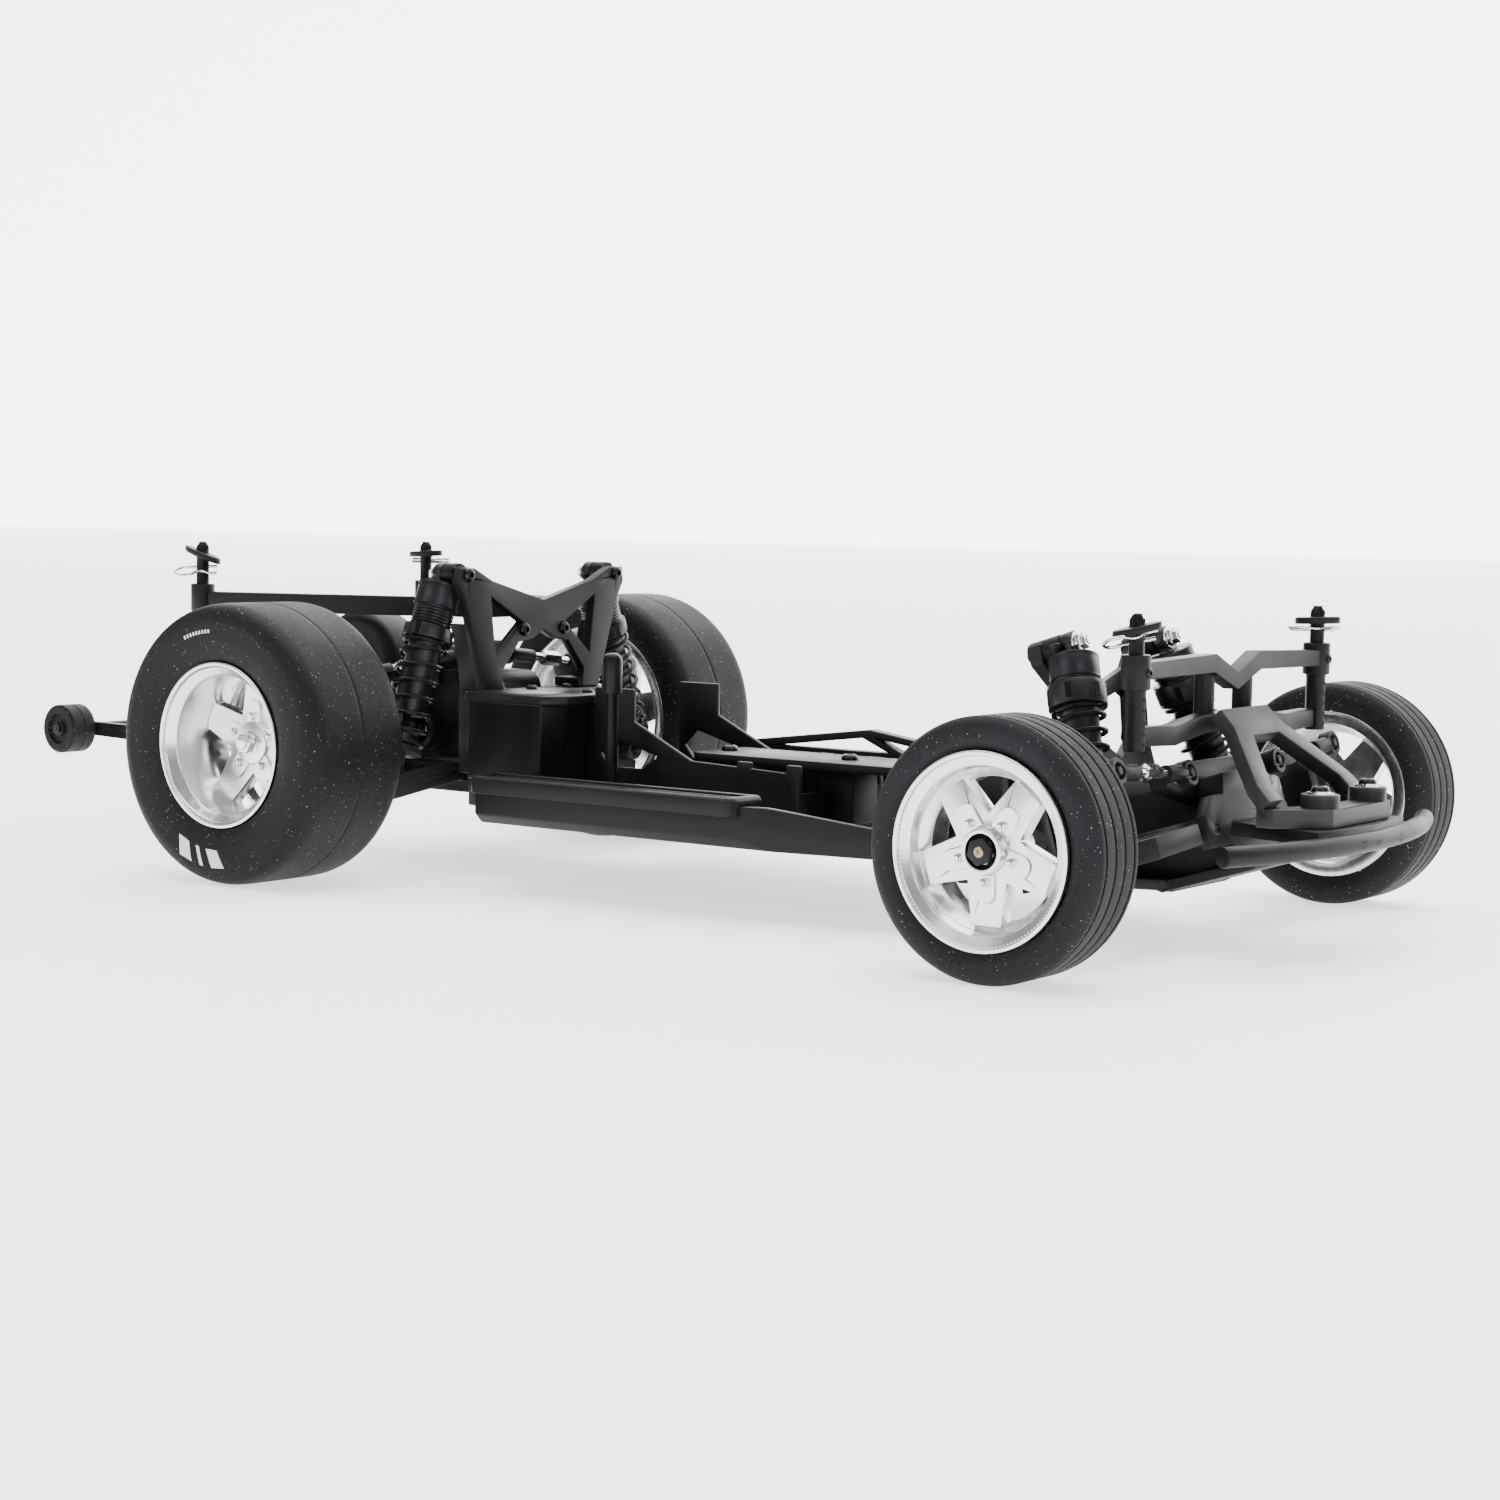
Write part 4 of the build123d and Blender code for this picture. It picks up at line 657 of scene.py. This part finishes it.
def front_hub(side, word):
    """The nut on the fixed axle, the waxed end of the stud, and the cup around them, whose floor and wall are
    painted shade.
    """
    outward = (0, side, 0)
    hub = Many()
    nut(hub, wheel_point(FRONT_AXLE, side * 130.7), outward, r=3.2, height=2.5, bore=1.9)
    hub.make(f"front_hub_nut_{word}", CHROME, f"knuckle_{word}", "steel")
    stud = Many()
    stud_profile = [(0, 1.7), (1.1, 1.7), (1.3, 1.45), (1.3, 0.7), (1.0, 0.5)]
    stud.turned(wheel_point(FRONT_AXLE, side * 132.6), outward, stud_profile, 24)
    stud.make(f"front_stud_{word}", BRASS, f"knuckle_{word}", "steel")
    # the cup's floor disc and thin wall are painted shade that makes the recess look deep
    cup = Many()
    floor_ring = [(0, 5.3), (0.06, 5.3), (0.06, 3.4), (0, 3.4)]
    wall_ring = [(0, 5.36), (1.5, 5.36), (1.5, 5.24), (0, 5.24)]
    cup.turned(wheel_point(FRONT_AXLE, side * 130.62), outward, floor_ring, 48, closed=True)
    cup.turned(wheel_point(FRONT_AXLE, side * 130.7), outward, wall_ring, 48, closed=True)
    cup.make(f"front_cup_shade_{word}", PAINTED_SHADE, f"front_wheel_{word}", "rim")


def rear_hub_nut(side, word):
    """The wheel nut, deep in the rear rim."""
    hub = Many()
    nut(hub, wheel_point(REAR_AXLE, side * 114.0), (0, side, 0), r=3.5, height=3.4, bore=2.0)
    hub.make(f"rear_hub_nut_{word}", CHROME, f"rear_wheel_{word}", "rim")


for side, word in SIDES:
    wheel_lugs("front", side, word)
    spoke_pads("front", side, word)
    rim_beads(side, word)
    wheel_lugs("rear", side, word)
    spoke_pads("rear", side, word)
    front_hub(side, word)
    rear_hub_nut(side, word)

# ------------------------------------------------------------------ dampers and their springs
COIL_RADIUS, WIRE_RADIUS = 8.3, 0.85
TURN_POINTS = 40
# Measured along a damper from its upper eye: the two ends of the coil, two collars, the notched ring, and the
# sleeve's low end, which is followed by its height. turns are the coil's open turns.
DAMPERS = {
    "front": {"coil": (22.6, 56.0), "turns": 5.2, "collars": (5.4, 12.4), "notches": 18.6,
              "notch_radius": 9.85, "sleeve": (55.0, 9.0)},
    "rear": {"coil": (27.0, 69.0), "turns": 5.8, "collars": (5.4, 13.4), "notches": 24.5,
             "notch_radius": 9.45, "sleeve": (68.0, 4.0)},
}


def damper_place(label, side, word):
    """A damper's upper eye, its downward direction, a direction across it, and its body's name."""
    if label == "front":
        top = front_point(FRONT_SHOCK_ALONG, side * FRONT_SHOCK_Y, FRONT_SHOCK_ABOVE)
        foot = front_point(FRONT_SHOCK_ALONG, side * FRONT_FOOT_Y, 0)
        return top, (foot - top).normalized(), KICKED_FORWARD, "chassis"
    top = Vector((REAR_SHOCK_X, side * REAR_SHOCK_Y, REAR_SHOCK_Z))
    foot = Vector((REAR_SHOCK_X, side * REAR_FOOT_Y, REAR_FOOT_Z))
    return top, (foot - top).normalized(), FORWARD, f"rear_shock_{word}"


def coil_points(start, down, hint, length, turns, flat=0.8):
    """A helix of COIL_RADIUS with its first and last turns closed up."""
    u, v = across(down, hint)
    total = turns + 2 * flat
    closed = 2 * WIRE_RADIUS * 0.9
    count = int(total * TURN_POINTS)
    points = []
    for i in range(count + 1):
        t = total * i / count
        if t < flat:
            d = closed * t / flat
        elif t > total - flat:
            d = length - closed * (total - t) / flat
        else:
            d = closed + (length - 2 * closed) * (t - flat) / turns
        a = 2 * math.pi * t
        points.append(start + down * d + (u * math.cos(a) + v * math.sin(a)) * COIL_RADIUS)
    return points


def coil_spring(label, side, word):
    """A coil from the damper's body to the perch on its rod."""
    top, down, hint, body = damper_place(label, side, word)
    start, end = (top + down * place for place in DAMPERS[label]["coil"])
    many = Many()
    length = (end - start).length - 2 * WIRE_RADIUS
    wire = coil_points(start + down * WIRE_RADIUS, down, hint, length, DAMPERS[label]["turns"])
    many.tube(wire, WIRE_RADIUS)
    obj = many.make(f"{label}_coil_{word}", SPRING, None, "spring", ROUND_ANGLE)
    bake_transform(obj)
    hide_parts(f"{label}_spring_{word}")


def block(width, length):
    """The outline of an upright block that starts at the origin."""
    return [(-width / 2, 0), (width / 2, 0), (width / 2, length), (-width / 2, length)]


def damper_rings(label, side, word):
    """Two collars, six fine threads and a ring of twelve notches on a damper's body."""
    top, down, hint, body = damper_place(label, side, word)
    sizes = DAMPERS[label]
    u, v = across(down, hint)
    many = Many()
    collar = [(-0.5, 8.2), (-0.45, 8.48), (0.45, 8.48), (0.5, 8.2)]
    for place in sizes["collars"]:
        many.turned(top + down * place, down, collar, 64, closed=True)
    for k in range(6):
        centre = top + down * (sizes["collars"][1] + 1.4 + 1.25 * k)
        many.turned(centre, down, [(-0.35, 7.2), (0, 7.95), (0.35, 7.2)], 64, closed=True)
    for k in range(12):
        a = 2 * math.pi * k / 12
        out = u * math.cos(a) + v * math.sin(a)
        centre = top + down * (sizes["notches"] - 2.4) + out * (sizes["notch_radius"] - 0.65)
        many.prism(centre, down.cross(out), down, block(3.0, 4.8), thickness=0.5, inset=0.2)
    many.make(f"{label}_damper_rings_{word}", SHOCK, body, "shock")


def damper_slot_shades(label, side, word):
    """Six slots around the notched ring, drawn as thin plates of painted shade where the recesses are."""
    top, down, hint, body = damper_place(label, side, word)
    sizes = DAMPERS[label]
    u, v = across(down, hint)
    # plates of painted shade, barely proud of the ring, stand in for the shaded slots
    slots = Many()
    for k in range(6):
        a = 2 * math.pi * (k + 0.25) / 6
        out = u * math.cos(a) + v * math.sin(a)
        centre = top + down * (sizes["notches"] - 2.6) + out * (sizes["notch_radius"] - 0.3)
        slots.prism(centre, down.cross(out), down, block(2.1, 5.2), thickness=0.36, inset=0.05)
    slots.make(f"{label}_damper_slot_shades_{word}", PAINTED_SHADE, body, "shock")


def bleed_peg(side, word):
    """The peg that stands on the front damper's cap."""
    peg = Many()
    profile = [(0, 1.6), (8.2, 1.6), (8.6, 1.9), (9.8, 1.9), (10.2, 1.5)]
    peg.turned(front_point(-12.0, side * 38.4, 54.5), KICKED_UP, profile, 24)
    peg.make(f"front_peg_{word}", PLASTIC, "chassis", "shock")


def rod_sleeve(label, side, word):
    """The sleeve above the spring's perch, inside the coil."""
    top, down, _, _ = damper_place(label, side, word)
    low, tall = DAMPERS[label]["sleeve"]
    sleeve = Many()
    profile = [(0, 6.5), (0.3, 6.8), (tall, 6.8), (tall, 6.2), (0, 6.2)]
    sleeve.turned(top + down * (low - tall), down, profile, 48, closed=True)
    sleeve.make(f"{label}_sleeve_{word}", SHOCK, f"{label}_rod_{word}", "shock")


for side, word in SIDES:
    for label in DAMPERS:
        coil_spring(label, side, word)
for side, word in SIDES:
    for label in DAMPERS:
        damper_rings(label, side, word)
        damper_slot_shades(label, side, word)
    bleed_peg(side, word)
    for label in DAMPERS:
        rod_sleeve(label, side, word)

# ------------------------------------------------------------------ nuts and screws
nuts, black = Many(), Many()


def front_shock_bolt(side):
    """Washer and lock nut in front of the front damper's eye, and the bolt's head behind the tower."""
    y, above = side * FRONT_SHOCK_Y, FRONT_SHOCK_ABOVE
    bush(nuts, front_point(-7.2, y, above), KICKED_FORWARD, foot=3.9, neck=2.8)
    nut(nuts, front_point(-6.3, y, above), KICKED_FORWARD, r=2.6, height=3.4, bore=1.4)
    screw(black, front_point(-24.5, y, above), -KICKED_FORWARD, 2.6)


def rear_shock_bolt(side):
    """Washer and lock nut behind the rear damper's eye, and two bolt heads in front of the tower."""
    y = side * REAR_SHOCK_Y
    bush(nuts, (-64.4, y, REAR_SHOCK_Z), -FORWARD, foot=3.7, neck=2.7)
    nut(nuts, (-65.4, y, REAR_SHOCK_Z), -FORWARD, r=2.5, height=2.6, bore=1.4)
    screw(black, (-49.4, y, REAR_SHOCK_Z), FORWARD, 2.7)
    screw(black, (-49.4, side * 11.9, 93.6), FORWARD, 2.7)


def brace_foot(side):
    """Washer and screw on a foot of the bumper brace."""
    bush(nuts, (291.0, side * 18.1, 53.8), UPWARD, foot=4.4, neck=3.2, shoulder=0.6, height=0.9)
    screw(black, (291.0, side * 18.1, 54.6), UPWARD, 3.0)


for side, _ in SIDES:
    front_shock_bolt(side)
    rear_shock_bolt(side)
    brace_foot(side)
    # set screws in the collars of the posts
    screw(black, (FRONT_POST_X + 4.4, side * FRONT_POST_Y, 92.4), FORWARD, 1.7)
    screw(black, (REAR_POST_X + 4.3, side * REAR_POST_Y, 103.0), FORWARD, 1.4)
# two screws each on the battery strap, the receiver box and the gearbox case
for x in (42.7, 97.3):
    screw(black, (x, 0, 51.2), UPWARD, 3.2)
for x in (-40.0, -12.0):
    screw(black, (x, -18.0, 71.0), UPWARD, 2.3)
for y in (-20.0, 20.0):
    screw(black, (-54.0, y, 69.4), UPWARD, 2.4)
lock_nuts = nuts.make("lock_nuts", CHROME, "chassis", "steel")
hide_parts("fasteners")
black.make("dome_screws", STEEL, "chassis", "steel")

# ------------------------------------------------------------------ body clips and post holes
CLIP_WIRE = 0.6


def body_clip(name, centre, direction, lean):
    """An R-shaped wire clip through a body post, below its oval rest."""
    u = Vector(direction).normalized()
    flat = UPWARD.cross(u).normalized()
    w = flat * math.cos(lean) + u.cross(flat) * math.sin(lean)
    c = Vector(centre)
    path = [c + u * (-6.0 + k) for k in range(14)]
    for k in range(1, 17):
        a = -math.pi / 2 + math.pi * 1.15 * k / 16
        path.append(c + u * (7.4 + 3.0 * math.cos(a)) + w * (3.0 + 3.0 * math.sin(a)))
    bend = path[-1]
    for k in range(1, 21):
        t = k / 20
        straight = bend + (c - u * 6.6 + w * 5.6 - bend) * t
        path.append(straight - w * (2.3 * math.sin(math.pi * min(1.0, max(0.0, (t - 0.15) / 0.6)))))
    many = Many()
    many.tube(path, CLIP_WIRE)
    many.make(name, CHROME, "chassis", "steel", ROUND_ANGLE)


body_clip("front_clip_right", (FRONT_POST_X, -FRONT_POST_Y, 101.9), (-0.80, -0.55, -0.22), 0.5)
body_clip("front_clip_left", (FRONT_POST_X, FRONT_POST_Y, 102.6), (-0.80, -0.59, 0), 0.15)
body_clip("rear_clip_right", (REAR_POST_X, -REAR_POST_Y, 115.4), (-0.80, -0.59, -0.05), -0.5)
body_clip("rear_clip_left", (REAR_POST_X, REAR_POST_Y, 116.6), (0.80, 0.59, 0), 0.2)

# five adjusting holes in each front post, and a clip hole in each peg, drawn as short dark plugs of painted
# shade
holes = Many()
for side, _ in SIDES:
    for k in range(5):
        centre = (FRONT_POST_X + 3.36, side * FRONT_POST_Y, 69.6 + 3.6 * k)
        holes.turned(centre, FORWARD, [(-0.3, 0.8), (0.08, 0.8)], 16)
    for x, y, z in ((FRONT_POST_X, FRONT_POST_Y, 108.6), (REAR_POST_X, REAR_POST_Y, 123.2)):
        holes.turned((x + 2.46, side * y, z), FORWARD, [(-0.3, 0.8), (0.06, 0.8)], 16)
holes.make("post_hole_shades", PAINTED_SHADE, "chassis", "plastic")

# ------------------------------------------------------------------ turnbuckles


def turnbuckle(name, start, end, body):
    """The chrome middle of a link: two threads and a hexagon between them."""
    axis = end - start
    half, step, reach = 0.085 * axis.length, 0.09 * axis.length, 0.2 * axis.length
    thread, middle = 1.75, 2.85
    profile = [(-reach, thread), (-step, thread), (-half, middle), (half, middle), (step, thread),
               (reach, thread)]

    def flats(row, angle, radius):
        return hexagon(angle, radius) * 0.93 if row in (2, 3) else radius
    many = Many()
    many.turned(start + axis * 0.5, axis, profile, 36, flats)
    many.make(name, CHROME, body, "plastic")


for side, word in SIDES:
    start, end = front_point(20, side * 32, 12.3), front_point(20, side * 78, 15.8)
    turnbuckle(f"front_turnbuckle_{word}", start, end, f"front_link_{word}")
    start, end = Vector((-82, side * 14, 82)), Vector((-82, side * 70, 76))
    turnbuckle(f"rear_turnbuckle_{word}", start, end, f"rear_link_{word}")
    start, end = front_point(-25.37, side * 14, 3.5), front_point(-25.37, side * 100, 3.5)
    turnbuckle(f"steer_turnbuckle_{word}", start, end, f"tie_rod_{word}")

# ------------------------------------------------------------------ wheelie bar wheels
WHEELIE_INNER = 25.0
WHEELIE_PROFILE = [
    (0, 4.0), (0, 9.3), (0.9, 10.45), (6.0, 10.48), (6.3, 10.2), (6.7, 10.2), (7.0, 10.48), (12.0, 10.45),
    (12.9, 9.4), (12.9, 6.6), (11.6, 6.2), (11.6, 3.4), (12.6, 3.2), (12.6, 2.1),
]
for side, word in SIDES:
    outward = (0, side, 0)
    inner_face = (WHEELIE_X, side * WHEELIE_INNER, WHEELIE_Z)
    wheel = lathe(f"wheelie_wheel_{word}", inner_face, outward, WHEELIE_PROFILE, REAR_RUBBER,
                  "wheelie_wheels")
    if side > 0:
        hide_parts("wheelie_wheels")
    cap = Many()
    nut(cap, (WHEELIE_X, side * 37.4, WHEELIE_Z), outward, r=2.1, height=1.8, bore=0.9)
    cap.make(f"wheelie_cap_{word}", STEEL, "wheelie_wheels", "tyre")
wheelie_axle = Many()
wheelie_axle.turned((WHEELIE_X, -38, WHEELIE_Z), (0, 1, 0), [(0, 1.95), (76, 1.95)], 32)
wheelie_axle.make("wheelie_axle", STEEL, "wheelie_wheels", "tyre")

# ------------------------------------------------------------------ floor, backdrop and surrounding light
FLOOR_GLOW, WALL_GLOW, SKY_GLOW = 1.3, 4.2, 0.4
WALL_Y = 9


def glowing_sheet(name, corners, mat_name, tone, roughness, glow):
    """A flat sheet with a faint light of its own. Corners are in metres."""
    mesh = bpy.data.meshes.new(name)
    mesh.from_pydata(corners, [], [(0, 1, 2, 3)])
    obj = bpy.data.objects.new(name, mesh)
    bpy.context.scene.collection.objects.link(obj)
    mat, _, bsdf = shader(mat_name, (tone, tone, tone), roughness)
    bsdf.inputs["Emission Color"].default_value = (1, 1, 1, 1)
    bsdf.inputs["Emission Strength"].default_value = glow
    mesh.materials.append(mat)
    return obj


floor_corners = [(-14, -60, 0), (60, -60, 0), (60, WALL_Y, 0), (-14, WALL_Y, 0)]
wall_corners = [(-14, WALL_Y, -0.5), (8, WALL_Y, -0.5), (8, WALL_Y, 8), (-14, WALL_Y, 8)]
floor = glowing_sheet("floor", floor_corners, "pale_floor", 0.94, 0.8, FLOOR_GLOW)
wall = glowing_sheet("backdrop", wall_corners, "white_backdrop", 0.9, 0.9, WALL_GLOW)

world = bpy.data.worlds.new("studio")
world.use_nodes = True
world.node_tree.nodes["Background"].inputs["Color"].default_value = (1, 1, 1, 1)
world.node_tree.nodes["Background"].inputs["Strength"].default_value = SKY_GLOW
bpy.context.scene.world = world

# ------------------------------------------------------------------ lights


def area(name, place, target, size, power):
    """A soft rectangular lamp that points at a target, in metres and watts."""
    data = bpy.data.lights.new(name, "AREA")
    data.shape = "RECTANGLE"
    data.size, data.size_y = size
    data.energy = power
    lamp = bpy.data.objects.new(name, data)
    bpy.context.scene.collection.objects.link(lamp)
    lamp.location = place
    lamp.rotation_euler = (Vector(target) - Vector(place)).to_track_quat("-Z", "Y").to_euler()


sun_data = bpy.data.lights.new("overhead", "SUN")
sun_data.energy = 5.2
sun_data.angle = math.radians(75)
sun = bpy.data.objects.new("overhead", sun_data)
bpy.context.scene.collection.objects.link(sun)
sun.rotation_euler = (math.radians(-12), math.radians(-6), 0)
area("front", (1.6, -0.9, 0.8), (0.1, 0, 0.05), (0.7, 0.9), 6)
area("side", (-0.5, -1.6, 0.9), (0, 0, 0.05), (1.2, 0.6), 6)

# ------------------------------------------------------------------ camera
CAMERA_PLACE = Vector((0.6716, -0.8443, 0.1409))
SENSOR_WIDTH, LENS = 36.0, 67.4592


def camera_matrix(place, yaw, pitch, roll):
    """Stands at place and looks along +y turned left by yaw, down by pitch and rolled, in degrees."""
    yaw, pitch, roll = math.radians(yaw), math.radians(pitch), math.radians(roll)
    look = Vector((-math.sin(yaw) * math.cos(pitch), math.cos(yaw) * math.cos(pitch), -math.sin(pitch)))
    level = Vector((math.cos(yaw), math.sin(yaw), 0))
    above = level.cross(look)
    right = level * math.cos(roll) + above * math.sin(roll)
    top = above * math.cos(roll) - level * math.sin(roll)
    rows = [(right[i], top[i], -look[i], place[i]) for i in range(3)]
    return Matrix((*rows, (0, 0, 0, 1)))


cam_data = bpy.data.cameras.new("camera")
cam_data.sensor_width = SENSOR_WIDTH
cam_data.lens = LENS
cam = bpy.data.objects.new("camera", cam_data)
cam.matrix_world = camera_matrix(CAMERA_PLACE, 36.27, 4.86, 0.862)
bpy.context.scene.collection.objects.link(cam)
bpy.context.scene.camera = cam
